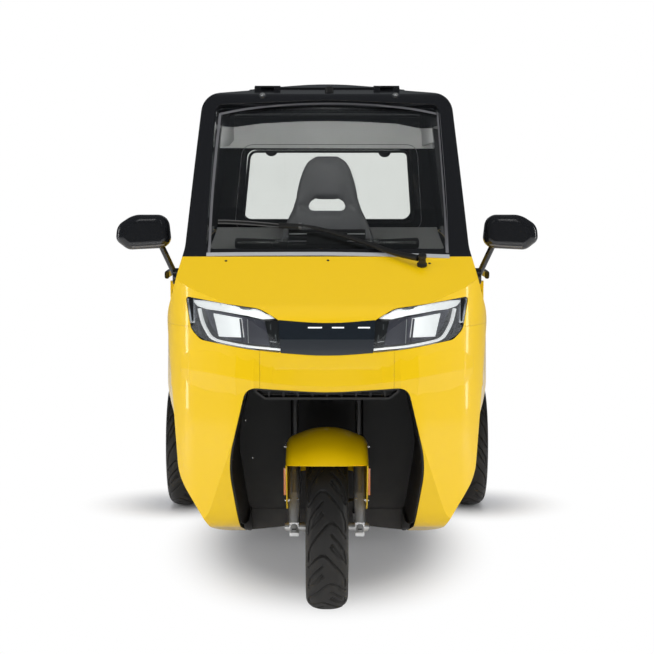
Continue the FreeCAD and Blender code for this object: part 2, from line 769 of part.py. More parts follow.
frame.append(block(-size("bracketHalf"), size("bracketHalf"), size("linerEndY") + seam,
                   frameFront + 12, size("bracketZ"), size("bracketZ") + size("bracketHigh")))
frame.append(rod(size("headTubeRadius"), onAxis(size("headTubeLow")),
                 onAxis(size("headTubeHigh"))))
headBore = rod(size("stemRadius") + 1, onAxis(500), onAxis(660))
feature("chassis_frame", fused(frame).cut(headBore))

battery = boxObject(
    "battery_box",
    ("-batteryHalf", "batteryFrontY", "batteryFootZ"),
    ("batteryHalf", "batteryFrontY + batteryLong", "floorZ - railHigh - seamGap"))
nodes.append(battery)

# driven axle with its trailing arms, dampers

motor = [
    rod(size("axleTubeRadius"), (-size("axleTubeHalf"), axleY, axleZ),
        (size("axleTubeHalf"), axleY, axleZ)),
    rod(size("motorRadius"), (size("motorFromX"), axleY, axleZ),
        (size("motorToX"), axleY, axleZ)),
    rod(size("gearRadius"), (size("motorToX"), axleY - size("gearForward"), axleZ),
        (size("gearToX"), axleY - size("gearForward"), axleZ)),
    rod(size("axleRadius"), (-size("rearWheelX") - 32, axleY, axleZ),
        (size("rearWheelX") + 32, axleY, axleZ)),
]
for fin in range(6):
    x = size("motorFromX") + 12 + fin * 14
    motor.append(rod(size("motorRadius") + 6, (x, axleY, axleZ), (x + 5, axleY, axleZ)))
for side in (-1, 1):
    arm = side * size("armX")
    pad = side * size("damperX")
    motor.append(block(arm - size("armHalf"), arm + size("armHalf"), kickY, axleY,
                       size("armFootZ"), railFoot))
    motor.append(block(pad - 15, pad + 15, axleY - 20, axleY + 20, axleZ, size("padTopZ")))
feature("rear_axle", fused(motor))

damperParts = []
for side in ("", "-"):
    sleeve = doc.addObject("Part::Cylinder", "damper_sleeve")
    sleeve.setExpression("Radius", bound("damperRadius"))
    sleeve.setExpression("Height", bound("damperHighZ - damperLowZ"))
    sleeve.setExpression("Placement.Base.z", bound("damperLowZ"))
    shaft = doc.addObject("Part::Cylinder", "damper_shaft")
    shaft.setExpression("Radius", bound("damperRodRadius"))
    shaft.setExpression("Height", bound("bootFloorZ - padTopZ - 2*seamGap"))
    shaft.setExpression("Placement.Base.z", bound("padTopZ + seamGap"))
    for part in (sleeve, shaft):
        part.setExpression("Placement.Base.x", bound(side + "damperX"))
        part.setExpression("Placement.Base.y", bound("rearAxleY"))
    joined = doc.addObject("Part::MultiFuse", "damper_side")
    joined.Shapes = [sleeve, shaft]
    damperParts.append(joined)
gathered("dampers", damperParts)

# fork, brake and steering column

sliderUp = size("sliderUp")
sliderRadius = size("sliderRadius")
forkHalf = size("forkHalf")
sliders = [rod(size("axleRadius"), (-forkHalf - 27, frontAxle.y, frontAxle.z),
               (forkHalf + 27, frontAxle.y, frontAxle.z))]
for side in (-1, 1):
    sliders += [
        rod(sliderRadius, onLeg(side, -8), onLeg(side, sliderUp)),
        rod(size("collarRadius"), onLeg(side, sliderUp - size("collarHigh")),
            onLeg(side, sliderUp)),
        rod(13, (side * (forkHalf + 22), frontAxle.y, frontAxle.z),
            (side * (forkHalf - 33), frontAxle.y, frontAxle.z)),
        block(side * forkHalf - 13, side * forkHalf + 13, frontAxle.y - 20, frontAxle.y + 20,
              frontAxle.z - 24, frontAxle.z + 16),
    ]
forkBody = fused(sliders)
feature("fork_sliders", forkBody)
discX = size("discX")
discPlace = (discX - 5, frontAxle.y, frontAxle.z)
discRoom = rod(size("discRadius") + 6, discPlace, (discX + 9, frontAxle.y, frontAxle.z))
caliper = fused([
    block(forkHalf - 48, forkHalf - 6, frontAxle.y + 62, frontAxle.y + 112,
          frontAxle.z - 6, frontAxle.z + 62),
    block(forkHalf - 20, forkHalf + 6, frontAxle.y - 6, frontAxle.y + 70,
          frontAxle.z + 18, frontAxle.z + 40),
]).cut(discRoom)
feature("brake_caliper", caliper.cut(forkBody))

disc = newBody("brake_disc")
discRows = [
    ("hubHalf + seamGap", "axleRadius + 6"), ("discX + discThick", "axleRadius + 6"),
    ("discX + discThick", "discRadius"), ("discX", "discRadius"),
    ("discX", "hubRadius + 8"), ("hubHalf + seamGap", "hubRadius + 8"),
]
turned(disc, discRows)
discHole = [
    ("-discHoleRadius", "discHoleOut - discHoleRadius"),
    ("discHoleRadius", "discHoleOut - discHoleRadius"),
    ("discHoleRadius", "discHoleOut + discHoleRadius"),
    ("-discHoleRadius", "discHoleOut + discHoleRadius"),
]
ringOfCuts(disc, profileSketch(disc, "disc_hole", "YZ_Plane", discHole), 12)
disc.Placement.Base = frontAxle
nodes.append(disc)

yokeUp = size("yokeUp")
yokePlate = Part.makeBox(2 * forkHalf + 44, size("yokeDeep"), size("yokeThick"),
                         vec(-forkHalf - 22, -24, 0))
yokePlate.rotate(vec(0, 0, 0), vec(1, 0, 0), -size("rakeAngle"))
yokePlate.translate(frontAxle + upFork * yokeUp)
barUp = (size("barZ") - axisFoot.z) / math.cos(rake)
stem = [yokePlate, rod(size("stemRadius"), onAxis(yokeUp - 10), onAxis(barUp - 22))]
for side in (-1, 1):
    stem.append(rod(size("stanchionRadius"), onLeg(side, sliderUp + seam),
                    onLeg(side, yokeUp + 20)))
feature("steering_stem", fused(stem))

barCentre = onAxis(barUp)
barRadius = size("barRadius")
barHalf = size("barHalf")
grip = size("gripLong")
bar = [
    rod(barRadius, (-120, barCentre.y, barCentre.z), (120, barCentre.y, barCentre.z)),
    rod(18, (-30, barCentre.y, barCentre.z), (30, barCentre.y, barCentre.z)),
    rod(17, onAxis(barUp - 22 + seam), onAxis(barUp)),
    block(-62, 62, barCentre.y - 30, barCentre.y + 6, barCentre.z + 6, barCentre.z + 40),
]
for side in (-1, 1):
    bend = (side * 118, barCentre.y, barCentre.z)
    tip = (side * barHalf, barCentre.y + 60, barCentre.z + 4)
    share = grip / (barHalf - 118)
    hand = tuple(b + (a - b) * share for a, b in zip(bend, tip))
    bar += [rod(barRadius, bend, tip), rod(size("gripRadius"), hand, tip)]
feature("handlebar", fused(bar))

# mudguard: domed over the tyre, flat skirts outside the legs

guardRadius = size("guardRadius")
guardHalf = size("guardHalf")
lipZ = size("guardLipZ") - size("wheelRadius")


def domeSolid(inset):
    high = guardRadius - inset
    half = guardHalf - inset
    ring = [(-half, 60, 0), (half, 60, 0), (half, high - 46, 34), (0, high, 190),
            (-half, high - 46, 34)]
    face = Part.Face(roundedWire(ring, inXY(0)))
    return face.revolve(vec(0, 0, 0), vec(1, 0, 0), 180)


guardSide = prism([
    (-330, lipZ, 0), (-120, 200, 0), (-16, 56, 18), (40, 44, 18), (262, 130, 0),
    (320, 160, 0), (320, 420, 0), (-330, 420, 0),
], inYZ(-200), vec(400, 0, 0))
guard = domeSolid(0).cut(domeSolid(size("guardWall"))).common(guardSide)
guard.translate(frontAxle)
for side in (-1, 1):
    guard = guard.cut(rod(sliderRadius + 0.4, onLeg(side, 40), onLeg(side, 520)))
    guard = guard.cut(rod(size("collarRadius") + 1, onLeg(side, sliderUp - 60),
                          onLeg(side, 520)))
feature("mudguard", guard)

reflectors = []
for name, low, high in (
    ("reflector_right", "guardHalf + seamGap", "guardHalf + seamGap + reflectorThick"),
    ("reflector_left", "-guardHalf - seamGap - reflectorThick", "-guardHalf - seamGap"),
):
    reflectors.append(boxObject(
        name,
        (low, "frontAxleY + 4", "wheelRadius + reflectorLow"),
        (high, "frontAxleY + 4 + reflectorLong", "wheelRadius + reflectorHigh")))
gathered("front_reflectors", reflectors)

# wheel-arch liners and the grille under the bumper

linerWall = size("linerWall")
linerEnd = size("linerEndY")
lipFront = size("lipFrontY")
lipRear = size("lipRearY")
liner = shrunk(frontArchOutline, inXZ(-1200), vec(0, 1200 + linerEnd, 0), seam)
liner = liner.cut(shrunk(frontArchOutline, inXZ(-1210), vec(0, 1210 + linerEnd - linerWall, 0),
                         seam + linerWall))
liner = liner.common(envelope(14)).cut(rod(34, onAxis(300), onAxis(620)))
liner = liner.cut(block(-240, 240, -1300, lipRear, 630, 700))
drumRadius = archRadius - seam
drum = rod(drumRadius, (archInner + 1, axleY, axleZ), (620, axleY, axleZ))
drum = drum.cut(rod(drumRadius - linerWall, (archInner + 1 + linerWall, axleY, axleZ),
                    (reach, axleY, axleZ)))
drum = drum.cut(rod(size("axleTubeRadius") + 6, (archInner - 10, axleY, axleZ),
                    (archInner + 20, axleY, axleZ)))
drum = drum.cut(block(-reach, reach, 0, 1300, 0, axleZ + 30)).common(envelope(5))
rearLiner = drum.cut(shell.cut(rearArch))
feature("arch_liners", Part.makeCompound([liner, rearLiner, flipped(rearLiner)]))

lipOutline = mirrored([(172, 638, 14), (218, 672, 8)])
lipOutline.insert(2, (0, 658.6, 900))
grille = [prism(lipOutline, inXZ(lipFront), vec(0, lipRear - seam - lipFront, 0)).cut(
    shrunk(lipOutline, inXZ(lipFront - 5), vec(0, 60, 0), size("lipRim")))]
pitch = size("lipBarPitch")
for step in range(-4, 5):
    grille.append(block(step * pitch - 3, step * pitch + 3, lipFront + 10, lipRear - 18,
                        640, 658 + abs(step) * 1.2))
grille.append(block(-192, 192, lipFront + 16, lipFront + 24, 649, 652))
archRoom = shrunk(frontArchOutline, inXZ(-1200), vec(0, 300, 0), seam)
feature("grille_lip", fused(grille).common(archRoom))

# cabin fittings

dash = inner.common(block(-reach, reach, -1000, size("dashRearY"), dashFoot,
                          size("dashHeadZ")))
feature("dashboard", dash.cut(rod(44, onAxis(560), onAxis(1000))))
seatBox = boxObject(
    "seat_box",
    ("-seatBoxHalf", "seatBoxFrontY", "floorZ + floorThick"),
    ("seatBoxHalf", "seatY - seamGap", "seatBaseZ"))
nodes.append(seatBox)

cushionBox = boxObject(
    "driver_cushion_box",
    ("-seatHalf", "seatFrontY", "seatBaseZ + seamGap"),
    ("seatHalf", "seatY - 12", "seatBaseZ + seatCushion"))
cushion = rounded("driver_cushion", cushionBox, size("cushionRound"))
backBody = newBody("driver_back")
backHalf = [
    ("158", "470"), ("176", "520"), ("180", "940"), ("168", "1030"), ("140", "1118"),
    ("108", "1200"), ("84", "1268"), ("60", "seatTopZ - 8"), ("30", "seatTopZ"),
]
backRows = backHalf + [("-(%s)" % across, up) for across, up in reversed(backHalf)]
backPad = backBody.newObject("PartDesign::Pad", "driver_back_pad")
backPad.Profile = profileSketch(backBody, "driver_back_outline", "XZ_Plane", backRows)
backPad.setExpression("Length", bound("backThick"))
backPad.Reversed = True
backBody.Tip = backPad
slotRows = [("-60", "1118"), ("60", "1118"), ("62", "1138"), ("50", "1158"), ("-50", "1158"),
            ("-62", "1138")]
slot = backBody.newObject("PartDesign::Pocket", "driver_back_slot")
slot.Profile = profileSketch(backBody, "driver_back_hole", "XZ_Plane", slotRows)
slot.Type = 1
slot.Midplane = True
backBody.Tip = slot
backBody.setExpression("Placement.Base.y", bound("seatY"))
gathered("driver_seat", [cushion, backBody])

rearBox = boxObject(
    "rear_cushion_box",
    ("-rearSeatHalf", "rearSeatFrontY", "bootFloorZ + sheetThick + seamGap"),
    ("rearSeatHalf", "rearSeatFrontY + rearSeatLong", "rearSeatTopZ"))
rearCushion = rounded("rear_cushion", rearBox, size("cushionRound"))
rearBackBox = boxObject(
    "rear_back_box",
    ("-rearSeatHalf", "rearBackFrontY", "rearBackFootZ"),
    ("rearSeatHalf", "rearBackFrontY + rearBackThick", "rearBackHeadZ"))
rearBack = rounded("rear_back", rearBackBox, size("rearBackRound"))
gathered("rear_seat", [rearCushion, rearBack])
wallY = size("partitionY")
feature("rear_partition", inner.common(block(
    -reach, reach, wallY, wallY + size("partitionThick"), bootZ + sheetThick + seam, 1040)))

# mirrors and wiper

mirrorX = size("mirrorX")
mirrorY = size("mirrorY")
mirrorZ = size("mirrorZ")
headOutline = [
    # x, z, radius
    (mirrorX - 78, mirrorZ - 44, 30), (mirrorX + 48, mirrorZ - 50, 34),
    (mirrorX + 84, mirrorZ - 22, 24), (mirrorX + 80, mirrorZ + 22, 40),
    (mirrorX + 34, mirrorZ + 52, 60), (mirrorX - 68, mirrorZ + 52, 36),
]
mirrorHead = prism(headOutline, inXZ(mirrorY + 30), vec(0, -size("mirrorDeep"), 0))
frontEdges = [e for e in mirrorHead.Edges if e.BoundBox.YMax < mirrorY - 31]
mirrorHead = mirrorHead.makeFillet(22, frontEdges)
footX = skinX(size("mirrorFootY"), size("mirrorFootZ"))
foot = vec(footX, size("mirrorFootY"), size("mirrorFootZ"))
mirror = fused([
    rod(size("stalkRadius"), foot + vec(6, 0, 0), vec(492, -694, 1050)),
    rod(24, foot - vec(14, 0, 0), foot + vec(14, 0, 0)),
    mirrorHead,
]).cut(shrunk(headOutline, inXZ(mirrorY + 24), vec(0, 20, 0), 6))
pair("mirrors", mirror.cut(outerSkin))


def offScreen(x, up, lift):
    return screenFoot + vec(x, 0, 0) + upGlass * up + outGlass * lift


wiperPivot = offScreen(150, 2, 5)
wiperTip = offScreen(-80, 92, 9)
wiper = [
    rod(15, wiperPivot - outGlass * 12, wiperPivot + outGlass * 14),
    rod(4, wiperPivot + outGlass * 6, wiperTip),
    rod(5, offScreen(-318, 96, 6), offScreen(110, 60, 6)),
    rod(6, wiperTip - outGlass * 6, wiperTip + outGlass * 2),
]
feature("wiper", fused(wiper).cut(outerSkin))

# number-plate carrier, left blank

carrier = block(-size("carrierHalf"), size("carrierHalf"), 1080, size("carrierRearY"),
                size("carrierFootZ"), size("carrierHeadZ")).cut(outerSkin)
for x, z in plateBolts:
    carrier = carrier.cut(rod(size("boltRadius"), (x, 1060, z), (x, 1120, z)))
feature("plate_carrier", carrier)

# check and export

doc.recompute()
for item in doc.Objects:
    if "Invalid" in item.State or "Error" in item.State:
        raise RuntimeError("failed: " + item.Label)
for piece in nodes:
    shape = piece.Shape
    if shape.isNull() or not shape.isValid():
        raise RuntimeError("bad shape: " + piece.Label)
    shape.exportStep("parts/%s.step" % piece.Label)
    print(piece.Label, round(shape.Volume / 1000), "cm3", len(shape.Solids), "solids")
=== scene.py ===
import bpy
import bmesh
import json
import math
from mathutils import Matrix, Vector
from mathutils.bvhtree import BVHTree
from mathutils.geometry import delaunay_2d_cdt


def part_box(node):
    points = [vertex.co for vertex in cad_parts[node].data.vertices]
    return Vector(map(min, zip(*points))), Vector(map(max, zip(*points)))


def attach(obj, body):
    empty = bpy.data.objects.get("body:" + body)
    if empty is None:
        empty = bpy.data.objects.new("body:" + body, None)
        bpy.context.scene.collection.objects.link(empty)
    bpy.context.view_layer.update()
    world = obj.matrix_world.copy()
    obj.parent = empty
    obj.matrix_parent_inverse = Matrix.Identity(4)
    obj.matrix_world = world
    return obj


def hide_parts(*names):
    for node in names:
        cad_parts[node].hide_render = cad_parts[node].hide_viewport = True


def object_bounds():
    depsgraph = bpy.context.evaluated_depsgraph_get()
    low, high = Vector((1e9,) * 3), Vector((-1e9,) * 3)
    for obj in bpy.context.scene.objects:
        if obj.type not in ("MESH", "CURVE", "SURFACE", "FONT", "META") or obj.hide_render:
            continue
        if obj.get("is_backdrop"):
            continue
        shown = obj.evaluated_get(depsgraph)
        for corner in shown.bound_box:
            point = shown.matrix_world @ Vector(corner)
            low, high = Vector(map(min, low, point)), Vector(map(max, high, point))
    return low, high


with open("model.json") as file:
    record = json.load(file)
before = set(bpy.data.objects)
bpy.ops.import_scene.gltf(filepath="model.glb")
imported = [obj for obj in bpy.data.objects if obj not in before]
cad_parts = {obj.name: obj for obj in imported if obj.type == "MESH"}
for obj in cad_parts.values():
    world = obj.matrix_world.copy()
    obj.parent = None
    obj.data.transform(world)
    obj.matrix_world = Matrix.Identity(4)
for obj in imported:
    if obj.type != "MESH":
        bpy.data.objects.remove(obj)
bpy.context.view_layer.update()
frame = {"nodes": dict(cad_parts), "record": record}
nodes = frame["nodes"]
record = frame["record"]
scene = bpy.context.scene
print("frame loaded:", len(nodes), "nodes")

# shared shader pieces


def addNode(tree, kind, values=None, **settings):
    # a shader node with its settings, then its inputs by name or number
    node = tree.nodes.new("ShaderNode" + kind)
    for label, value in settings.items():
        setattr(node, label, value)
    for label, value in (values or {}).items():
        node.inputs[label].default_value = value
    return node


def wire(tree, *rows):
    # each row joins an output of one node to an input of another
    for source, output, target, given in rows:
        tree.links.new(source.outputs[output], target.inputs[given])


def newGroup(name, inputs, outputs):
    group = bpy.data.node_groups.new(name, "ShaderNodeTree")
    for label, kind, value in inputs:
        socket = group.interface.new_socket(label, in_out="INPUT", socket_type=kind)
        socket.default_value = value
    for label, kind in outputs:
        group.interface.new_socket(label, in_out="OUTPUT", socket_type=kind)
    return group, group.nodes.new("NodeGroupInput"), group.nodes.new("NodeGroupOutput")


def speckleGroup():
    # fine colour variation, and the noise behind it as a mask
    group, given, out = newGroup(
        "Speckle",
        [("Color", "NodeSocketColor", (0.5, 0.5, 0.5, 1)), ("Scale", "NodeSocketFloat", 40.0),
         ("Amount", "NodeSocketFloat", 0.06)],
        [("Color", "NodeSocketColor"), ("Mask", "NodeSocketFloat")],
    )
    place = addNode(group, "TexCoord")
    noise = addNode(group, "TexNoise", {"Detail": 6, "Roughness": 0.62})
    low = addNode(group, "Math", {0: 1}, operation="SUBTRACT")
    high = addNode(group, "Math", {0: 1}, operation="ADD")
    level = addNode(group, "MapRange")
    shade = addNode(group, "HueSaturation")
    wire(group,
         (place, "Object", noise, "Vector"), (given, "Scale", noise, "Scale"),
         (given, "Amount", low, 1), (given, "Amount", high, 1),
         (low, 0, level, "To Min"), (high, 0, level, "To Max"),
         (noise, "Fac", level, "Value"), (level, "Result", shade, "Value"),
         (given, "Color", shade, "Color"), (shade, "Color", out, "Color"),
         (noise, "Fac", out, "Mask"))
    return group


def grainGroup():
    # moulded or leather grain as a normal
    group, given, out = newGroup(
        "Grain",
        [("Scale", "NodeSocketFloat", 400.0), ("Strength", "NodeSocketFloat", 0.25),
         ("Depth", "NodeSocketFloat", 0.0004)],
        [("Normal", "NodeSocketVector")],
    )
    place = addNode(group, "TexCoord")
    cells = addNode(group, "TexVoronoi", feature="SMOOTH_F1")
    bump = addNode(group, "Bump")
    wire(group,
         (place, "Object", cells, "Vector"), (given, "Scale", cells, "Scale"),
         (given, "Strength", bump, "Strength"), (given, "Depth", bump, "Distance"),
         (cells, "Distance", bump, "Height"), (bump, "Normal", out, "Normal"))
    return group


def dustGroup():
    # road dust that gathers low down
    group, given, out = newGroup(
        "RoadDust",
        [("Color", "NodeSocketColor", (0.5, 0.5, 0.5, 1)), ("Amount", "NodeSocketFloat", 0.2),
         ("Top", "NodeSocketFloat", 0.45)],
        [("Color", "NodeSocketColor"), ("Mask", "NodeSocketFloat")],
    )
    place = addNode(group, "TexCoord")
    split = addNode(group, "SeparateXYZ")
    fade = addNode(group, "MapRange", {"From Min": 0, "To Min": 1, "To Max": 0})
    noise = addNode(group, "TexNoise", {"Scale": 22, "Detail": 8})
    patchy = addNode(group, "Math", operation="MULTIPLY")
    amount = addNode(group, "Math", operation="MULTIPLY")
    mix = addNode(group, "Mix", data_type="RGBA")
    mix.inputs["B"].default_value = (0.30, 0.26, 0.21, 1)
    wire(group,
         (place, "Object", split, 0), (split, "Z", fade, "Value"),
         (given, "Top", fade, "From Max"), (place, "Object", noise, "Vector"),
         (fade, "Result", patchy, 0), (noise, "Fac", patchy, 1),
         (patchy, 0, amount, 0), (given, "Amount", amount, 1),
         (amount, 0, mix, "Factor"), (given, "Color", mix, "A"),
         (mix, "Result", out, "Color"), (amount, 0, out, "Mask"))
    return group


def shellGroup():
    # masks for a hollow body: its inner faces, and what lies above one height
    group, given, out = newGroup(
        "ShellFaces",
        [("Middle", "NodeSocketVector", (0, 0, 0.75)), ("Belt", "NodeSocketFloat", 9.0)],
        [("Inside", "NodeSocketFloat"), ("Above", "NodeSocketFloat")],
    )
    place = addNode(group, "TexCoord")
    away = addNode(group, "VectorMath", operation="SUBTRACT")
    facing = addNode(group, "VectorMath", operation="DOT_PRODUCT")
    inside = addNode(group, "Math", {1: -0.02}, operation="LESS_THAN")
    split = addNode(group, "SeparateXYZ")
    above = addNode(group, "Math", operation="GREATER_THAN")
    wire(group,
         (place, "Object", away, 0), (given, "Middle", away, 1),
         (away, "Vector", facing, 0), (place, "Normal", facing, 1),
         (facing, "Value", inside, 0), (place, "Object", split, 0),
         (split, "Z", above, 0), (given, "Belt", above, 1),
         (inside, 0, out, "Inside"), (above, 0, out, "Above"))
    return group


speckle = speckleGroup()
grain = grainGroup()
roadDust = dustGroup()
shellFaces = shellGroup()


def makeMaterial(name, color, rough=0.4, metal=0.0, coat=0.0, spread=(40, 0.05), grains=None,
                 dust=0.0, rounded=0.0, **more):
    mat = bpy.data.materials.new(name)
    mat.use_nodes = True
    tree = mat.node_tree
    shader = tree.nodes["Principled BSDF"]
    shader.inputs["Metallic"].default_value = metal
    shader.inputs["Coat Weight"].default_value = coat
    shader.inputs["Coat Roughness"].default_value = 0.03
    for label, value in more.items():
        shader.inputs[label.replace("_", " ")].default_value = value
    vary = addNode(tree, "Group", {"Color": (*color, 1), "Scale": spread[0],
                                   "Amount": spread[1]}, node_tree=speckle)
    tone = vary
    if dust:
        tone = addNode(tree, "Group", {"Amount": dust}, node_tree=roadDust)
        wire(tree, (vary, "Color", tone, "Color"))
    level = addNode(tree, "MapRange", {"To Min": rough * 0.85, "To Max": min(1, rough * 1.15)})
    wire(tree, (tone, "Color", shader, "Base Color"), (vary, "Mask", level, "Value"),
         (level, "Result", shader, "Roughness"))
    if grains:
        texture = addNode(tree, "Group", {"Scale": grains[0], "Strength": grains[1]},
                          node_tree=grain)
        wire(tree, (texture, "Normal", shader, "Normal"))
    if rounded:
        edge = addNode(tree, "Bevel", {"Radius": rounded}, samples=4)
        wire(tree, (edge, "Normal", shader, "Normal"), (edge, "Normal", shader, "Coat Normal"))
    return mat


bodyLooks = {
    "paint": {"color": (0.78, 0.50, 0.0003), "rough": 0.34, "coat": 0.5, "spread": (900, 0.02),
              "dust": 0.02, "rounded": 0.003, "Specular_IOR_Level": 0.25},
    "overBelt": {"Base Color": (0.006, 0.0065, 0.008, 1), "Roughness": 0.16},
    "lining": {"Base Color": (0.016, 0.016, 0.017, 1), "Roughness": 0.6},
    "doorBelt": 1.0305,
    "noBelt": 9.0,
}


def linedPaint(name, belt):
    # body paint outside, gloss black above the belt and dark lining inside
    mat = makeMaterial(name, **bodyLooks["paint"])
    tree = mat.node_tree
    shader = tree.nodes["Principled BSDF"]
    masks = addNode(tree, "Group", {"Belt": belt}, node_tree=shellFaces)
    for label, kind in (("Base Color", "RGBA"), ("Roughness", "FLOAT")):
        source = shader.inputs[label].links[0].from_socket
        for mask, looks in (("Above", "overBelt"), ("Inside", "lining")):
            mix = addNode(tree, "Mix", data_type=kind)
            share, before, after = [i for i in mix.inputs if i.enabled]
            tree.links.new(masks.outputs[mask], share)
            tree.links.new(source, before)
            after.default_value = bodyLooks[looks][label]
            source = [o for o in mix.outputs if o.enabled][0]
        tree.links.new(source, shader.inputs[label])
    return mat


def glassMaterial(name, color, clear):
    # thin pane: tinted see-through with a mirror-like face
    mat = bpy.data.materials.new(name)
    mat.use_nodes = True
    tree = mat.node_tree
    shader = tree.nodes["Principled BSDF"]
    shader.inputs["Base Color"].default_value = (0.01, 0.012, 0.014, 1)
    shader.inputs["Roughness"].default_value = 0.02
    vary = addNode(tree, "Group", {"Color": (*color, 1), "Scale": 3, "Amount": 0.03},
                   node_tree=speckle)
    through = addNode(tree, "BsdfTransparent")
    edge = addNode(tree, "Fresnel", {"IOR": 1.5})
    boost = addNode(tree, "Math", {1: 1 - clear}, operation="ADD")
    mirror = addNode(tree, "BsdfGlossy", {"Roughness": 0.015, "Color": (0.95, 0.97, 1, 1)})
    mix = addNode(tree, "MixShader")
    wire(tree,
         (vary, "Color", through, "Color"), (edge, 0, boost, 0), (boost, 0, mix, "Fac"),
         (through, 0, mix, 1), (mirror, 0, mix, 2),
         (mix, 0, tree.nodes["Material Output"], "Surface"))
    return mat


mats = {
    "yellow_paint": makeMaterial("YellowPaint", **bodyLooks["paint"]),
    "black_gloss": makeMaterial("BlackGloss", (0.007, 0.0075, 0.009), rough=0.14, coat=0.3,
                                spread=(200, 0.2), rounded=0.004),
    "black_plastic": makeMaterial("BlackPlastic", (0.012, 0.012, 0.012), rough=0.5,
                                  spread=(60, 0.15), grains=(900, 0.3), dust=0.25),
    "band_gloss": makeMaterial("BandGloss", (0.008, 0.012, 0.017), rough=0.08, coat=1.0),
    "lamp_lens": makeMaterial("LampLens", (0.75, 0.78, 0.8), rough=0.1, coat=1.0),
    "red_lens": makeMaterial("RedLens", (0.35, 0.005, 0.006), rough=0.08, coat=1.0),
    "amber_lens": makeMaterial("AmberLens", (0.85, 0.22, 0.01), rough=0.15, coat=1.0),
    "clear_glass": glassMaterial("ClearGlass", (0.95, 0.96, 0.95), 1.0),
    "dark_glass": glassMaterial("DarkGlass", (0.05, 0.05, 0.055), 0.95),
    "floor_paint": makeMaterial("FloorPaint", (0.02, 0.02, 0.02), rough=0.55, spread=(30, 0.2)),
    "frame_paint": makeMaterial("FramePaint", (0.012, 0.012, 0.012), rough=0.35, dust=0.3),
    "cast_housing": makeMaterial("CastHousing", (0.09, 0.09, 0.09), rough=0.55, metal=0.7,
                                 grains=(600, 0.4), dust=0.3),
    "fork_alloy": makeMaterial("ForkAlloy", (0.62, 0.62, 0.61), rough=0.32, metal=0.9),
    "steel_chrome": makeMaterial("SteelChrome", (0.72, 0.72, 0.73), rough=0.08, metal=1.0),
    "rim_alloy": makeMaterial("RimAlloy", (0.05, 0.05, 0.052), rough=0.35, metal=0.6, dust=0.2),
    "tyre": makeMaterial("TyreRubber", (0.008, 0.008, 0.008), rough=0.5, grains=(700, 0.25),
                         dust=0.1, Specular_IOR_Level=0.35),
    "seat_leather": makeMaterial("PadLeather", (0.026, 0.026, 0.028), rough=0.42,
                                 grains=(420, 0.5)),
    "trim_grey": makeMaterial("TrimGrey", (0.20, 0.20, 0.20), rough=0.5, grains=(700, 0.3)),
}
shellPaint = linedPaint("BodyShellPaint", bodyLooks["noBelt"])
doorPaint = linedPaint("DoorPaint", bodyLooks["doorBelt"])
shellNodes = {"nose_panel": shellPaint, "front_fenders": shellPaint, "rear_body": shellPaint,
              "boot_lid": shellPaint, "door_left": doorPaint, "door_right": doorPaint}
slotOf = {row["node"]: row["material_slot"] for row in record["subparts"]}
for nodeName, obj in nodes.items():
    obj.data.materials.clear()
    obj.data.materials.append(shellNodes.get(nodeName, mats[slotOf[nodeName]]))
print("materials set")

# camera, light and floor

cameraPiece = {"place": (0, -6.068, 1.322), "focal": 1824.0, "picture": 654, "middle": 327.0,
               "horizon": 150}
camData = bpy.data.cameras.new("Camera")
camData.sensor_width = 36
camData.lens = cameraPiece["focal"] / cameraPiece["picture"] * 36
cam = bpy.data.objects.new("Camera", camData)
scene.collection.objects.link(cam)
cam.location = cameraPiece["place"]
cameraPitch = math.atan((cameraPiece["middle"] - cameraPiece["horizon"]) / cameraPiece["focal"])
cam.rotation_euler = (math.radians(90) - cameraPitch, 0, 0)
scene.camera = cam

lightPieces = {
    # place, what it points at, size, watts, seen in shiny faces, seen by the camera
    "softTop": ((0, -0.8, 4.0), (0, 0, 0.6), (4.0, 4.5), 84, False, True),
    "softFront": ((0, -7.8, 2.3), (0, -0.5, 0.6), (4.5, 1.2), 165, False, True),
    "softLeft": ((-3.8, -1.6, 1.7), (-0.2, -0.3, 0.8), (1.2, 3.0), 34, False, True),
    "edgeLeft": ((-3.6, -0.8, 1.3), (-0.4, -0.8, 0.8), (0.30, 2.4), 20, True, True),
    "softRight": ((3.8, -1.6, 1.7), (0.2, -0.3, 0.8), (1.2, 3.0), 34, False, True),
    "edgeRight": ((3.6, -0.8, 1.3), (0.4, -0.8, 0.8), (0.30, 2.4), 20, True, True),
    "cabinFill": ((0, -0.34, 1.40), (0, 0.55, 1.30), (0.5, 0.08), 4.5, False, False),
    "creaseStrip": ((0, -2.7, 0.10), (0, -1.1, 0.7), (2.6, 0.035), 2.2, True, False),
    "softBack": ((0, 5.0, 3.2), (0, 0.5, 0.8), (4.0, 1.6), 60, False, True),
    "stripLeft": ((-0.9, -3.2, 3.4), (-0.3, -0.6, 1.0), (0.10, 2.2), 2.2, True, True),
    "stripRight": ((0.9, -3.2, 3.2), (0.3, -0.6, 1.0), (0.10, 2.2), 2.2, True, True),
}
for name, (place, target, size, watts, shiny, shown) in lightPieces.items():
    data = bpy.data.lights.new(name, "AREA")
    data.shape = "RECTANGLE"
    data.size, data.size_y = size
    data.energy = watts
    light = bpy.data.objects.new(name, data)
    scene.collection.objects.link(light)
    light.location = place
    light.rotation_euler = (Vector(target) - Vector(place)).to_track_quat("-Z", "Y").to_euler()
    light.visible_glossy = shiny
    light.visible_camera = shown

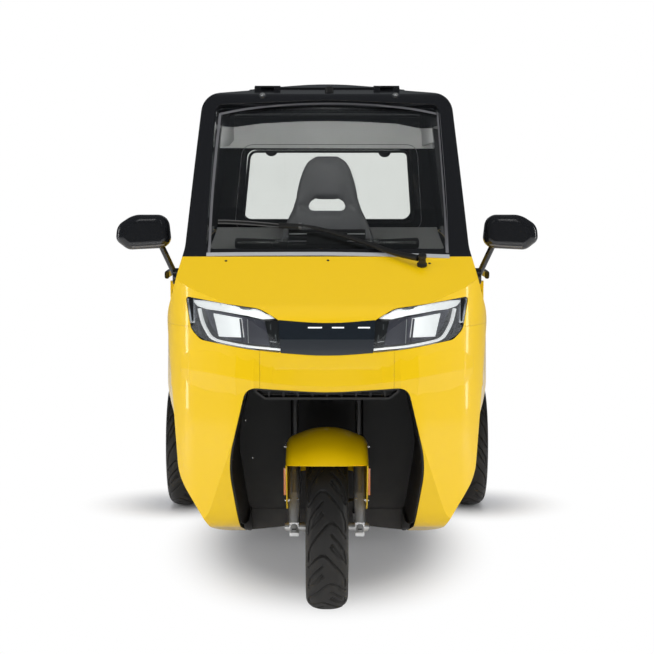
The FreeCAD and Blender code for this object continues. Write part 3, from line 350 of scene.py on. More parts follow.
skyPiece = {"seen": ((1, 1, 1, 1), 1.0), "lit": ((0.96, 0.97, 1, 1), 0.34),
            "shine": ((0.9, 0.95, 1, 1), 0.09)}
world = bpy.data.worlds.new("Studio")
scene.world = world
world.use_nodes = True
sky = world.node_tree
sky.nodes.clear()
paths = addNode(sky, "LightPath")
seen, lit, shine = (addNode(sky, "Background", {"Color": color, "Strength": strength})
                    for color, strength in skyPiece.values())
soft = addNode(sky, "MixShader")
pick = addNode(sky, "MixShader")
wire(sky,
     (paths, "Is Glossy Ray", soft, "Fac"), (lit, 0, soft, 1), (shine, 0, soft, 2),
     (paths, "Is Camera Ray", pick, "Fac"), (soft, 0, pick, 1), (seen, 0, pick, 2),
     (pick, 0, addNode(sky, "OutputWorld"), "Surface"))

floorPiece = {"x": 14, "y": (-12, 14), "oval": (2.0, 1.05, 0), "ovalFade": (0.50, 1.15),
              "tyre": (0.58, 0.69, 0), "tyreFade": (0.06, 0.36)}
floorMesh = bpy.data.meshes.new("floor")
floorMesh.from_pydata([(x, y, 0) for x, y in (
    (-floorPiece["x"], floorPiece["y"][0]), (floorPiece["x"], floorPiece["y"][0]),
    (floorPiece["x"], floorPiece["y"][1]), (-floorPiece["x"], floorPiece["y"][1]))],
    [], [(0, 1, 2, 3)])
floor = bpy.data.objects.new("floor", floorMesh)
scene.collection.objects.link(floor)
floorMat = makeMaterial("StudioFloor", (0.93, 0.935, 0.95), rough=0.8, spread=(2, 0.01))
floorMesh.materials.append(floorMat)
floorTree = floorMat.node_tree


def floorFade(limits):
    return addNode(floorTree, "MapRange", {"From Min": limits[0], "From Max": limits[1]},
                   interpolation_type="SMOOTHSTEP")


# the camera sees plain white past an oval round the part, with room for the tyres' shadows
spot = addNode(floorTree, "TexCoord")
oval = addNode(floorTree, "VectorMath", {1: floorPiece["oval"]}, operation="MULTIPLY")
far = addNode(floorTree, "VectorMath", operation="LENGTH")
farFade = floorFade(floorPiece["ovalFade"])
parts = addNode(floorTree, "SeparateXYZ")
wide = addNode(floorTree, "Math", operation="ABSOLUTE")
folded = addNode(floorTree, "CombineXYZ")
near = addNode(floorTree, "VectorMath", {1: floorPiece["tyre"]}, operation="DISTANCE")
nearFade = floorFade(floorPiece["tyreFade"])
both = addNode(floorTree, "Math", operation="MULTIPLY")
rays = addNode(floorTree, "LightPath")
only = addNode(floorTree, "Math", operation="MULTIPLY")
glow = addNode(floorTree, "Emission")
blend = addNode(floorTree, "MixShader")
wire(floorTree,
     (spot, "Object", oval, 0), (oval, "Vector", far, 0), (far, "Value", farFade, "Value"),
     (spot, "Object", parts, 0), (parts, "X", wide, 0), (wide, 0, folded, "X"),
     (parts, "Y", folded, "Y"), (folded, "Vector", near, 0),
     (near, "Value", nearFade, "Value"), (nearFade, "Result", both, 0),
     (farFade, "Result", both, 1), (both, 0, only, 0), (rays, "Is Camera Ray", only, 1),
     (only, 0, blend, "Fac"), (floorTree.nodes["Principled BSDF"], 0, blend, 1),
     (glow, 0, blend, 2), (blend, 0, floorTree.nodes["Material Output"], "Surface"))
floor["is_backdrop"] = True
scene.view_settings.view_transform = "Standard"
print("stage set")

# mesh helpers


def addPiece(name, mesh, body, slotName, replaced=(), material=None):
    obj = bpy.data.objects.new(name, mesh)
    scene.collection.objects.link(obj)
    if not mesh.materials:
        mesh.materials.append(material or mats[slotName])
    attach(obj, body)
    if replaced:
        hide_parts(*replaced)
    return obj


def smoothShade(mesh, angle=35):
    for poly in mesh.polygons:
        poly.use_smooth = True
    mesh.set_sharp_from_angle(angle=math.radians(angle))


def meshFrom(name, points, faces):
    mesh = bpy.data.meshes.new(name)
    mesh.from_pydata(points, [], faces)
    mesh.update()
    return mesh


def solidMesh(name, points, faces, angle, weld=0):
    # closed mesh with its faces turned outwards, smooth up to one angle
    mesh = meshFrom(name, points, faces)
    bm = bmesh.new()
    bm.from_mesh(mesh)
    if weld:
        bmesh.ops.remove_doubles(bm, verts=bm.verts, dist=weld)
    bmesh.ops.recalc_face_normals(bm, faces=bm.faces)
    bm.to_mesh(mesh)
    bm.free()
    smoothShade(mesh, angle)
    return mesh


# drawing on the CAD skin


def treeOf(*names):
    # ray-cast tree over some CAD nodes at rest
    bm = bmesh.new()
    for nodeName in names:
        mesh = nodes[nodeName].data.copy()
        mesh.transform(nodes[nodeName].matrix_world)
        bm.from_mesh(mesh)
        bpy.data.meshes.remove(mesh)
    tree = BVHTree.FromBMesh(bm)
    bm.free()
    return tree


frontTree = treeOf("nose_panel", "headlamps", "centre_band", "front_bumper", "front_fenders",
                   "roof_shell", "windscreen")


def sightRay(px, py):
    # direction from the camera through one picture place
    ray = Vector(((px - cameraPiece["middle"]) / cameraPiece["focal"], 1,
                  (cameraPiece["middle"] - py) / cameraPiece["focal"]))
    ray.rotate(Matrix.Rotation(-cameraPitch, 3, "X"))
    return ray


def seenAt(px, py):
    # the point of the front skin that the camera sees at one picture place
    ray = sightRay(px, py)
    for aside in (0, 0.0006, -0.0006):
        hit = frontTree.ray_cast(cam.location, (ray + Vector((aside, 0, 0))).normalized())[0]
        if hit and hit.y < -0.4:
            return hit
    return cam.location + ray * 5.1


def hitWithNormal(px, py, tree):
    # point of one skin on the sight line, and its normal towards the camera
    ray = sightRay(px, py)
    hit, normal = tree.ray_cast(cam.location, ray.normalized())[:2]
    if normal and normal.dot(ray) > 0:
        normal = -normal
    return hit, normal


def skinPoint(x, z):
    # the foremost skin at one place, from beside it where a seam runs there
    for aside, up in ((0, 0), (0.002, 0), (-0.002, 0), (0, 0.002), (0, -0.002), (0.004, 0.004),
                      (-0.004, -0.004)):
        hit = frontTree.ray_cast(Vector((x + aside, -3, z + up)), Vector((0, 1, 0)))[0]
        if hit and hit.y < -0.6:
            return Vector((x, hit.y, z))
    return Vector((x, -0.9, z))


def spline(points, closed=False, steps=8):
    # smooth curve through 2-D points
    count = len(points)
    result = []
    last = count if closed else count - 1
    for i in range(last):
        if closed:
            p0, p1, p2, p3 = (points[(i + k - 1) % count] for k in range(4))
        else:
            p0 = points[max(i - 1, 0)]
            p1 = points[i]
            p2 = points[i + 1]
            p3 = points[min(i + 2, count - 1)]
        for k in range(steps):
            t = k / steps
            result.append(tuple(
                0.5 * (2 * b + (c - a) * t + (2 * a - 5 * b + 4 * c - d) * t * t
                       + (3 * b - a - 3 * c + d) * t ** 3)
                for a, b, c, d in zip(p0, p1, p2, p3)))
    if not closed:
        result.append(points[-1])
    return result


def insidePolygon(p, outline):
    inside = False
    for a, b in zip(outline, outline[1:] + outline[:1]):
        if (a[1] > p[1]) != (b[1] > p[1]):
            if p[0] < (b[0] - a[0]) * (p[1] - a[1]) / (b[1] - a[1]) + a[0]:
                inside = not inside
    return inside


def patch(name, outline, place, spacing, thick):
    # filled sheet over a closed 2-D outline, carried to 3-D by place(a, b, depth)
    dense = []
    for a, b in zip(outline, outline[1:] + outline[:1]):
        steps = max(1, int(math.dist(a, b) / spacing))
        for k in range(steps):
            dense.append((a[0] + (b[0] - a[0]) * k / steps, a[1] + (b[1] - a[1]) * k / steps))
    count = len(dense)
    inner = []
    lowA = min(p[0] for p in dense)
    highA = max(p[0] for p in dense)
    lowB = min(p[1] for p in dense)
    highB = max(p[1] for p in dense)
    a = lowA + spacing / 2
    while a < highA:
        b = lowB + spacing / 2
        while b < highB:
            if insidePolygon((a, b), dense):
                near = min(math.dist((a, b), p) for p in dense)
                if near > spacing * 0.5:
                    inner.append((a, b))
            b += spacing
        a += spacing
    edges = [(i, (i + 1) % count) for i in range(count)]
    filled = delaunay_2d_cdt([Vector(p) for p in dense + inner], edges, [], 1, 1e-6)
    verts, faces = filled[0], filled[2]
    points = [place(v[0], v[1], 0) for v in verts]
    allFaces = [tuple(f) for f in faces]
    if thick:
        start = len(points)
        points += [place(v[0], v[1], thick) for v in verts]
        allFaces += [tuple(start + i for i in reversed(f)) for f in faces]
        rim = {}
        for f in faces:
            for i, j in zip(f, list(f[1:]) + [f[0]]):
                rim[(i, j)] = rim.get((i, j), 0) + 1
        for (i, j) in list(rim):
            if (j, i) not in rim:
                allFaces.append((j, i, start + i, start + j))
    return solidMesh(name, points, allFaces, 40)


def ribbon(name, path, widths, place, thick, depth):
    # narrow strip along a 2-D path
    left = []
    right = []
    for i, p in enumerate(path):
        a = path[max(i - 1, 0)]
        b = path[min(i + 1, len(path) - 1)]
        length = max(math.dist(a, b), 1e-9)
        across = (-(b[1] - a[1]) / length, (b[0] - a[0]) / length)
        half = widths[min(i * len(widths) // len(path), len(widths) - 1)] / 2
        left.append((p[0] + across[0] * half, p[1] + across[1] * half))
        right.append((p[0] - across[0] * half, p[1] - across[1] * half))
    points = []
    for side in (left, right):
        for level in (depth, depth + thick):
            points += [place(p[0], p[1], level) for p in side]
    n = len(path)
    faces = []
    for i in range(n - 1):
        faces.append((i, i + 1, 2 * n + i + 1, 2 * n + i))
        faces.append((n + i, 3 * n + i, 3 * n + i + 1, n + i + 1))
        faces.append((i, n + i, n + i + 1, i + 1))
        faces.append((2 * n + i, 2 * n + i + 1, 3 * n + i + 1, 3 * n + i))
    faces.append((0, 2 * n, 3 * n, n))
    faces.append((n - 1, 2 * n - 1, 4 * n - 1, 3 * n - 1))
    return solidMesh(name, points, faces, 40)


def joined(name, meshes):
    # one mesh from several, each keeping its own material
    bm = bmesh.new()
    result = bpy.data.meshes.new(name)
    materials = []
    for mesh in meshes:
        start = len(bm.faces)
        bm.from_mesh(mesh)
        bm.faces.ensure_lookup_table()
        for face in bm.faces[start:]:
            material = mesh.materials[face.material_index] if mesh.materials else None
            if material not in materials:
                materials.append(material)
            face.material_index = materials.index(material)
    bm.to_mesh(result)
    bm.free()
    for material in materials:
        result.materials.append(material)
    for mesh in meshes:
        bpy.data.meshes.remove(mesh)
    return result


def addJoined(name, meshes, body, slotName, replaced=()):
    return addPiece(name, joined(name, meshes), body, slotName, replaced)


def lathe(name, profile, start, axis, turns=48):
    # turned solid: profile of (along, radius) about an axis from its start
    axis = Vector(axis).normalized()
    side = axis.orthogonal().normalized()
    other = axis.cross(side)
    points = []
    faces = []
    count = len(profile)
    for k in range(turns):
        angle = 2 * math.pi * k / turns
        out = side * math.cos(angle) + other * math.sin(angle)
        for along, radius in profile:
            points.append(Vector(start) + axis * along + out * radius)
    for k in range(turns):
        n = (k + 1) % turns
        for i in range(count - 1):
            faces.append((k * count + i, n * count + i, n * count + i + 1, k * count + i + 1))
    faces.append(tuple(k * count for k in reversed(range(turns))))
    faces.append(tuple(k * count + count - 1 for k in range(turns)))
    return solidMesh(name, points, faces, 30, weld=1e-6)


def sweep(name, path, sizes, up, sides=10, square=0.7):
    # bar along a 3-D path; sizes are (half wide, half high) at even steps along it
    path = [Vector(p) for p in path]
    count = len(path)
    points = []
    for i, p in enumerate(path):
        ahead = (path[min(i + 1, count - 1)] - path[max(i - 1, 0)]).normalized()
        across = ahead.cross(Vector(up)).normalized()
        lift = across.cross(ahead).normalized()
        spot = i / max(count - 1, 1) * (len(sizes) - 1)
        low = min(int(spot), len(sizes) - 2) if len(sizes) > 1 else 0
        high = min(low + 1, len(sizes) - 1)
        part = spot - low
        wide = sizes[low][0] + (sizes[high][0] - sizes[low][0]) * part
        tall = sizes[low][1] + (sizes[high][1] - sizes[low][1]) * part
        for k in range(sides):
            angle = 2 * math.pi * (k + 0.5) / sides
            c, s = math.cos(angle), math.sin(angle)
            points.append(p + across * math.copysign(abs(c) ** square, c) * wide
                          + lift * math.copysign(abs(s) ** square, s) * tall)
    faces = []
    for i in range(count - 1):
        for k in range(sides):
            n = (k + 1) % sides
            faces.append((i * sides + k, (i + 1) * sides + k, (i + 1) * sides + n,
                          i * sides + n))
    faces.append(tuple(range(sides)))
    faces.append(tuple((count - 1) * sides + k for k in reversed(range(sides))))
    return solidMesh(name, points, faces, 45)


def curved(points, steps=6):
    # smooth 3-D path through a few points
    return [Vector(p) for p in spline([tuple(p) for p in points], False, steps)]


def withMaterial(mesh, material):
    mesh.materials.clear()
    mesh.materials.append(material)
    return mesh


def mirroredMesh(mesh):
    other = mesh.copy()
    other.transform(Matrix.Scale(-1, 4, (1, 0, 0)))
    other.flip_normals()
    return other


# headlamps: clear lens over a bowl with running light and reflector; the chrome strip and the
# lens's outer edge glow as painted highlights

# glowing white: lamp light in the running light and reflector; painted highlight on the chrome
# strip, the lens's outer edge and the centre band's dashes
lampGlowAndHighlight = makeMaterial("LampGlowAndHighlight", (0.9, 0.92, 0.95), rough=0.3, spread=(90, 0.03),
                         Emission_Color=(1, 1, 1, 1), Emission_Strength=0.62)
lampSilver = makeMaterial("LampSilver", (0.11, 0.11, 0.14), rough=0.3, metal=0.6)
lampDark = makeMaterial("LampDark", (0.012, 0.013, 0.015), rough=0.25, coat=1.0)
lampMirror = makeMaterial("LampMirror", (0.86, 0.87, 0.88), rough=0.06, metal=1.0)

lampLooks = {
    # the lamp on the left: the lens in metres of x and z, the rest in picture places
    "lens": [(-0.393, 0.9125), (-0.290, 0.901), (-0.198, 0.889), (-0.168, 0.876),
             (-0.1345, 0.8585), (-0.1275, 0.771), (-0.220, 0.779), (-0.340, 0.7935),
             (-0.364, 0.806), (-0.381, 0.826)],
    "running": [(190.8, 300.3), (201.6, 300.8), (225.2, 304.7), (254.6, 309.6), (264.4, 313.6),
                (272.3, 319.0), (261.5, 319.5), (246.8, 316.0), (219.3, 311.1), (205.5, 309.2),
                (196.7, 306.2)],
    "chamber": [(201.0, 310.0), (219.0, 313.0), (246.8, 318.5), (264.0, 322.5), (268.5, 347.0),
                (233.0, 342.0), (215.0, 337.0), (207.0, 326.0)],
    "bright": [(210.5, 314.0), (238.0, 319.0), (240.5, 338.0), (216.0, 337.0)],
    "divider": [(263.6, 321.5), (277.2, 321.5), (280.0, 349.0), (269.0, 348.0)],
    # glowing sliver on the lens's outer edge: painted highlight
    "outer": [(186.6, 302.8), (190.2, 304.8), (192.0, 323.0), (188.8, 321.8)],
    # chrome L strip, made to glow: painted reflection
    "strip": [(197.2, 308.7), (200.6, 322.4), (206.5, 334.2), (211.4, 339.1), (220.2, 342.1),
              (246.8, 347.0), (266.4, 348.9), (279.2, 350.1)],
    "inward": Vector((0.42, 0.9, 0)).normalized(),
    "bowlDeep": 0.036,
    "lines": [
        # top, bottom, width, finish
        ((246.5, 319.5), (247.5, 343.5), 0.0022, lampMirror),
        ((239.0, 319.0), (241.5, 341.5), 0.004, lampSilver),
        ((269.5, 324.5), (269.8, 330.0), 0.0035, lampMirror),
        ((274.5, 335.0), (275.4, 342.0), 0.0035, lampMirror),
        ((269.0, 341.5), (275.4, 342.5), 0.0025, lampMirror),
        ((192.8, 307.5), (195.4, 318.0), 0.004, lampSilver),
        ((195.8, 321.5), (199.0, 334.0), 0.005, lampSilver),
    ],
    "parts": [
        # outline, depth behind the lens, thickness, finish
        ("running", 0.005, 0.010, lampGlowAndHighlight),
        ("chamber", 0.022, 0.002, lampSilver),
        ("bright", 0.016, 0.006, lampGlowAndHighlight),
        ("divider", 0.008, 0.014, lampDark),
        # painted highlight: the lens's outer edge
        ("outer", 0.005, 0.010, lampGlowAndHighlight),
    ],
}


def lampPlace(x, z, depth):
    return skinPoint(x, z) + lampLooks["inward"] * (depth + 0.0004)


def flatPlaces(pixels):
    return [(p.x, p.z) for p in (seenAt(*pixel) for pixel in pixels)]


def lampPatch(key, depth, thick, material):
    def place(x, z, extra):
        return lampPlace(x, z, depth + extra)

    return withMaterial(
        patch("lamp_" + key, flatPlaces(lampLooks[key]), place, 0.007, thick), material)


def bowlPlace(x, z, depth):
    return skinPoint(x, z) + lampLooks["inward"] * (lampLooks["bowlDeep"] + depth)


def makeLamps():
    inner = [lampPatch(*row) for row in lampLooks["parts"]]
    strip = flatPlaces(lampLooks["strip"])
    # the chrome strip glows: painted reflection
    inner.append(withMaterial(
        ribbon("lamp_chrome_strip_highlight", spline(strip), [0.005], lampPlace, 0.012, 0.006), lampGlowAndHighlight))
    for top, bottom, wide, material in lampLooks["lines"]:
        line = flatPlaces([top, bottom])
        inner.append(withMaterial(
            ribbon("lamp_line", line, [wide], lampPlace, 0.004, 0.005), material))
    outline = lampLooks["lens"]
    inner.append(withMaterial(patch("lamp_back", outline, bowlPlace, 0.016, 0.001), lampDark))
    walls = spline(outline + outline[:1], False, 6)
    inner.append(withMaterial(
        ribbon("lamp_wall", walls, [0.0016], lampPlace, 0.035, 0.001), lampDark))
    lens = withMaterial(patch("lamp_lens", outline, lampPlace, 0.008, 0.0015),
                        mats["clear_glass"])
    innerMesh = joined("headlamp_inner", inner + [mirroredMesh(m) for m in inner])
    lensMesh = joined("headlamp_lens", [lens, mirroredMesh(lens)])
    addPiece("headlamp_bowls", innerMesh, "chassis", "lamp_lens", ["headlamps"])
    addPiece("headlamp_lenses", lensMesh, "chassis", "clear_glass")


makeLamps()
print("headlamps made")

# dashes on the centre band that glow as painted reflections, and the screws

markPiece = {"dashes": [(308.0, 322.0), (332.0, 344.0), (358.0, 370.0)], "rowY": 327.6,
             "high": 0.0032}


def bandPlace(x, z, depth):
    return skinPoint(x, z) + Vector((0, depth - 0.0006, 0))


# the dashes glow: painted reflection on the band
dashMeshes = []
for left, right in markPiece["dashes"]:
    ends = flatPlaces([(left, markPiece["rowY"]), (right, markPiece["rowY"])])
    dashMeshes.append(withMaterial(
        ribbon("band_highlight_dash", ends, [markPiece["high"]], bandPlace, 0.002, 0.0), lampGlowAndHighlight))
addJoined("band_painted_highlights", dashMeshes, "chassis", "lamp_lens")


def screwHead(place, normal, radius):
    # domed cross-head screw standing on a skin
    profile = [(-0.002, radius * 0.96), (0.0006, radius), (radius * 0.36, radius * 0.82),
               (radius * 0.52, radius * 0.42), (radius * 0.52, radius * 0.2),
               (radius * 0.3, radius * 0.16), (radius * 0.3, 0.0001)]
    return lathe("screw", profile, place, normal, 20)


screwPiece = {
    "dark": [(226, 261), (328, 260.5), (429.5, 263.5)],
    "bright": [(245.5, 420), (232.5, 459.5), (252.5, 457.5), (420.5, 461.5)],
    "darkRadius": 0.0042, "brightRadius": 0.0034,
}


linerTree = treeOf("arch_liners")


def screws(name, pixels, tree, radius, slotName):
    heads = []
    for px, py in pixels:
        hit, normal = hitWithNormal(px, py, tree)
        heads.append(withMaterial(screwHead(hit, normal, radius), mats[slotName]))
    addJoined(name, heads, "chassis", slotName)


screws("panel_screws", screwPiece["dark"], frontTree, screwPiece["darkRadius"],
       "black_plastic")
screws("liner_screws", screwPiece["bright"], linerTree, screwPiece["brightRadius"],
       "steel_chrome")
print("screws made")

# windscreen surround

trimGrey = makeMaterial("TrimEdge", (0.13, 0.13, 0.14), rough=0.3, spread=(300, 0.1))
trimPale = makeMaterial("TrimPale", (0.36, 0.37, 0.38), rough=0.35, spread=(300, 0.08))
screenPiece = {
    "left": [(220.2, 114.2), (215.4, 160.0), (211.6, 206.0), (209.0, 252.6)],
    "right": [(438.2, 114.2), (442.2, 160.0), (445.4, 206.0), (447.2, 252.6)],
    "top": [(220.2, 114.2), (246, 109.3), (276, 105.8), (303, 104.2), (329, 103.6),
            (355, 104.2), (382, 105.8), (412, 109.3), (438.2, 114.2)],
    "foot": [(206.5, 254.6), (250, 254.2), (300, 254.0), (329, 254.0), (370, 254.6),
             (410, 255.4), (449.5, 256.6)],
}
glassTree = treeOf("windscreen", "roof_shell", "nose_panel")


def glassPlace(x, z, depth):
    hit = glassTree.ray_cast(Vector((x, -3, z)), Vector((0, 1, 0)))[0]
    y = hit.y if hit and hit.y < 0 else -0.7
    return Vector((x, y - 0.002 + depth * 0.5, z + depth * 0.8))


def glassPlaces(pixels):
    hits = [hitWithNormal(px, py, glassTree)[0] for px, py in pixels]
    return [(hit.x, hit.z) for hit in hits]


trimMeshes = []
for key, wide, material in (("left", 0.0075, trimGrey), ("right", 0.0085, trimGrey),
                            ("top", 0.0035, trimGrey), ("foot", 0.0065, trimPale)):
    line = spline(glassPlaces(screenPiece[key]))
    trimMeshes.append(withMaterial(
        ribbon("screen_" + key, line, [wide], glassPlace, 0.004, -0.001), material))
addJoined("screen_trim", trimMeshes, "chassis", "trim_grey")
print("screen trim made")

# cabin lining seen through the glass

headerGrey = makeMaterial("HeaderGrey", (0.62, 0.62, 0.62), rough=0.6, spread=(6, 0.12),
                          grains=(800, 0.2))
liningPiece = {
    "header": [(226.6, 127.5), (262, 123.6), (300, 121.6), (329, 121.2), (360, 121.8),
               (396, 123.8), (429.0, 129.0), (430.5, 148.5), (226.0, 148.0)],
    "past": 5.9,  # metres along the sight line, behind the driver's backrest
}
roofTree = treeOf("roof_shell")
backTree = treeOf("roof_shell", "rear_window")


def wallPlaces(pixels, tree):
    # where the sight lines meet the inside of the back wall
    result = []
    for px, py in pixels:
        ray = sightRay(px, py).normalized()
        hit = tree.ray_cast(cam.location + ray * liningPiece["past"], ray)[0]
        if hit:
            result.append((hit.x, hit.z))
    return result


def liningPlace(x, z, depth):
    hit = backTree.ray_cast(Vector((x, 0.1, z)), Vector((0, 1, 0)))[0]
    y = hit.y if hit else 0.56
    return Vector((x, y - 0.003 - depth, z))


headerOutline = wallPlaces(liningPiece["header"], roofTree)
headerMesh = patch("header_lining", headerOutline, liningPlace, 0.02, 0.002)
addPiece("header_lining", withMaterial(headerMesh, headerGrey), "chassis", "trim_grey")
print("cabin lining made")

# wiper: blade with two rails, connector, tapered arm and pivot cap


wiperPiece = {
    # picture places along it, then half widths and half heights in metres
    "blade": [(218.2, 223.6), (232, 223.9), (256, 225.4), (280, 227.6)],
    "bladeHalf": [(0.0055, 0.003), (0.005, 0.003)],
    "rails": (0.0045, -0.0045), "railHalf": [(0.0016, 0.0016), (0.0012, 0.0012)],
    "connector": [(279, 227.6), (300, 228.6)], "connectorHalf": [(0.009, 0.006), (0.008, 0.006)],
    "clipLong": 0.008, "clipHalf": [(0.0095, 0.0075)],
    "arm": [(298, 228.4), (320, 232.0), (361, 244.5), (393, 255.5)],
    "armHalf": [(0.0045, 0.003), (0.0055, 0.004), (0.0075, 0.006), (0.0095, 0.008)],
    "armEnd": Vector((-0.012, 0, 0.004)), "edgeHalf": [(0.0009, 0.0009)],
    "pivot": (422, 265.5),
    "pivotProfile": [(-0.003, 0.0145), (0.006, 0.0145), (0.009, 0.011), (0.024, 0.0105),
                     (0.027, 0.0125), (0.034, 0.012), (0.037, 0.008), (0.037, 0.0001)],
    "bladeLift": 0.006, "connectorLift": 0.012, "armLift": 0.017, "pivotLift": 0.020,
}
outOfGlass = Vector((0, -0.82, 0.57))


def onGlass(key):
    return [hitWithNormal(*pixel, glassTree)[0] + outOfGlass * wiperPiece[key + "Lift"]
            for pixel in wiperPiece[key]]


wiperRubber = makeMaterial("WiperRubber", (0.01, 0.01, 0.01), rough=0.5)
wiperSheen = makeMaterial("WiperSheen", (0.10, 0.10, 0.10), rough=0.3, spread=(300, 0.1))
blade = curved(onGlass("blade"))
link = onGlass("connector")
clip = [link[1] + Vector((aside * wiperPiece["clipLong"] / 2, 0, 0)) for aside in (-1, 1)]
pivotHit, pivotNormal = hitWithNormal(*wiperPiece["pivot"], frontTree)
arm = curved(onGlass("arm") + [pivotHit + pivotNormal * wiperPiece["pivotLift"]
                               + wiperPiece["armEnd"]])
edgeLine = [p + Vector((0, -0.1, -1)).normalized() * 0.0045 + outOfGlass * 0.0035 for p in arm]
wiperMeshes = [withMaterial(sweep("blade", blade, wiperPiece["bladeHalf"], outOfGlass),
                            wiperRubber)]
for aside in wiperPiece["rails"]:
    rail = [p + Vector((0, 0.2, 1)).normalized() * aside + outOfGlass * 0.004 for p in blade]
    wiperMeshes.append(withMaterial(
        sweep("rail", rail, wiperPiece["railHalf"], outOfGlass, 6), wiperSheen))
for key, path, sides, material in (("connector", link, 10, wiperRubber),
                                   ("clip", clip, 10, wiperSheen), ("arm", arm, 10, wiperRubber),
                                   ("edge", edgeLine[2:-3], 6, wiperSheen)):
    wiperMeshes.append(withMaterial(
        sweep(key, path, wiperPiece[key + "Half"], outOfGlass, sides), material))
wiperMeshes.append(withMaterial(
    lathe("pivot", wiperPiece["pivotProfile"], pivotHit, pivotNormal, 28), wiperRubber))
addJoined("wiper_arm_and_blade", wiperMeshes, "chassis", "black_plastic", ["wiper"])
print("wiper made")

# fork fittings: cast feet, ribs, bolts with nuts, and seals

forkPiece = {
    "legX": 0.095, "axleY": -0.868, "axleZ": 0.2365, "rake": math.radians(25),
    # spots are metres up the leg, to its front and outwards from the axle's end
    "foot": [(-0.020, 0.0), (0.010, 0.003), (0.055, 0.006), (0.095, 0.002)],
    "footHalf": [(0.0135, 0.022), (0.0135, 0.021), (0.0165, 0.0185), (0.0172, 0.0172)],
    # the slot is a near-black bar on the foot's front: painted shade of the slit
    "slot": [(-0.0125, 0.0212, -0.006), (-0.0125, 0.0212, 0.006)],
    "slotHalf": [(0.0022, 0.0016)],
    "rib": [(0.03, 0.012, 0.010), (0.225, 0.012, 0.010)],
    "ribHalf": [(0.003, 0.009), (0.002, 0.007)],
    "pinchBolt": (0.077, 0.016, 0), "boltProfile": [(-0.012, 0.0058), (0.017, 0.0058)],
    "seal": (0.2515, 0, 0),
    "sealProfile": [(0, 0.0165), (0.003, 0.0195), (0.012, 0.0195), (0.016, 0.0150),
                    (0.016, 0.0130)],
    "ringProfile": [(0, 0.0253), (0.003, 0.0253)],
    "nuts": [
        # spot, which way it faces, radius, thickness
        ((0, 0, 0.0155), 1, 0.0085, 0.009),
        ((0, 0, -0.0155), -1, 0.0100, 0.010),
        ((0.077, 0.010, 0.017), 1, 0.0068, 0.007),
        ((0.240, 0.004, 0.022), 1, 0.0062, 0.006),
    ],
}
forkUp = Vector((0, math.sin(forkPiece["rake"]), math.cos(forkPiece["rake"])))
forkFront = Vector((0, -math.cos(forkPiece["rake"]), math.sin(forkPiece["rake"])))
castAlloy = makeMaterial("CastAlloy", (0.60, 0.60, 0.585), rough=0.38, metal=0.75,
                         spread=(160, 0.12), grains=(900, 0.15))
zincBright = makeMaterial("ZincBright", (0.75, 0.75, 0.74), rough=0.22, metal=0.9)
# near black: the seals' rubber, and painted shade for the foot's slit
gapShadeAndSeal = makeMaterial("GapShadeAndSealRubber", (0.02, 0.02, 0.02), rough=0.7)


def hexNut(centre, axis, radius, thick):
    # six-sided nut with a washer and a stub of thread
    axis = Vector(axis).normalized()
    nut = lathe("nut", [(0, radius), (thick * 0.85, radius), (thick, radius * 0.86)],
                centre, axis, 6)
    for poly in nut.polygons:
        poly.use_smooth = False
    washer = lathe("washer", [(-0.002, radius * 1.3), (0.0, radius * 1.3)], centre, axis, 24)
    stub = lathe("stub", [(thick * 0.8, radius * 0.55), (thick * 1.45, radius * 0.52)],
                 centre, axis, 16)
    return joined("nut", [nut, washer, stub])


def forkSide(side):
    base = Vector((side * forkPiece["legX"], forkPiece["axleY"], forkPiece["axleZ"]))
    out = Vector((side, 0, 0))

    def at(up, front, aside=0):
        return base + forkUp * up + forkFront * front + out * aside

    meshes = []
    for key, sides, square, material in (("foot", 16, 0.55, castAlloy), ("slot", 8, 0.7, gapShadeAndSeal),
                                         ("rib", 10, 0.7, castAlloy)):
        path = [at(*spot) for spot in forkPiece[key]]
        if key == "foot":
            path = curved(path)
        meshes.append(withMaterial(
            sweep(key, path, forkPiece[key + "Half"], forkFront, sides, square), material))
    for profile, spot, axis, turns, material in (
            ("boltProfile", "pinchBolt", out, 18, zincBright),
            ("sealProfile", "seal", forkUp, 32, gapShadeAndSeal),
            ("ringProfile", "seal", forkUp, 32, zincBright)):
        meshes.append(withMaterial(
            lathe(profile, forkPiece[profile], at(*forkPiece[spot]), axis, turns), material))
    for spot, way, radius, thick in forkPiece["nuts"]:
        meshes.append(withMaterial(hexNut(at(*spot), out * way, radius, thick), zincBright))
    return meshes


addJoined("fork_fittings", forkSide(-1) + forkSide(1), "steering", "fork_alloy")
print("fork fittings made")

# rear window seal and the two small tabs over it

rearPiece = {
    "window": [(250, 151.5), (409, 151.5), (413.5, 222), (243, 222)], "radius": 8.0,
    "recess": [(242.5, 144.5), (417, 144.5), (422, 229.5), (234.5, 229.5)], "recessRadius": 12,
    "tabs": [(271.5, 151.5), (384.5, 152.5)], "tabHalf": 6.0, "tabHigh": 4.8,
}


def roundedPixels(corners, radius, steps=6):
    # closed picture outline with rounded corners
    result = []
    count = len(corners)
    for i in range(count):
        here = Vector(corners[i])
        before = (Vector(corners[i - 1]) - here).normalized()
        after = (Vector(corners[(i + 1) % count]) - here).normalized()
        start = here + before * radius
        end = here + after * radius
        for k in range(steps + 1):
            t = k / steps
            result.append(tuple(start * (1 - t) ** 2 + here * 2 * t * (1 - t) + end * t * t))
    return result


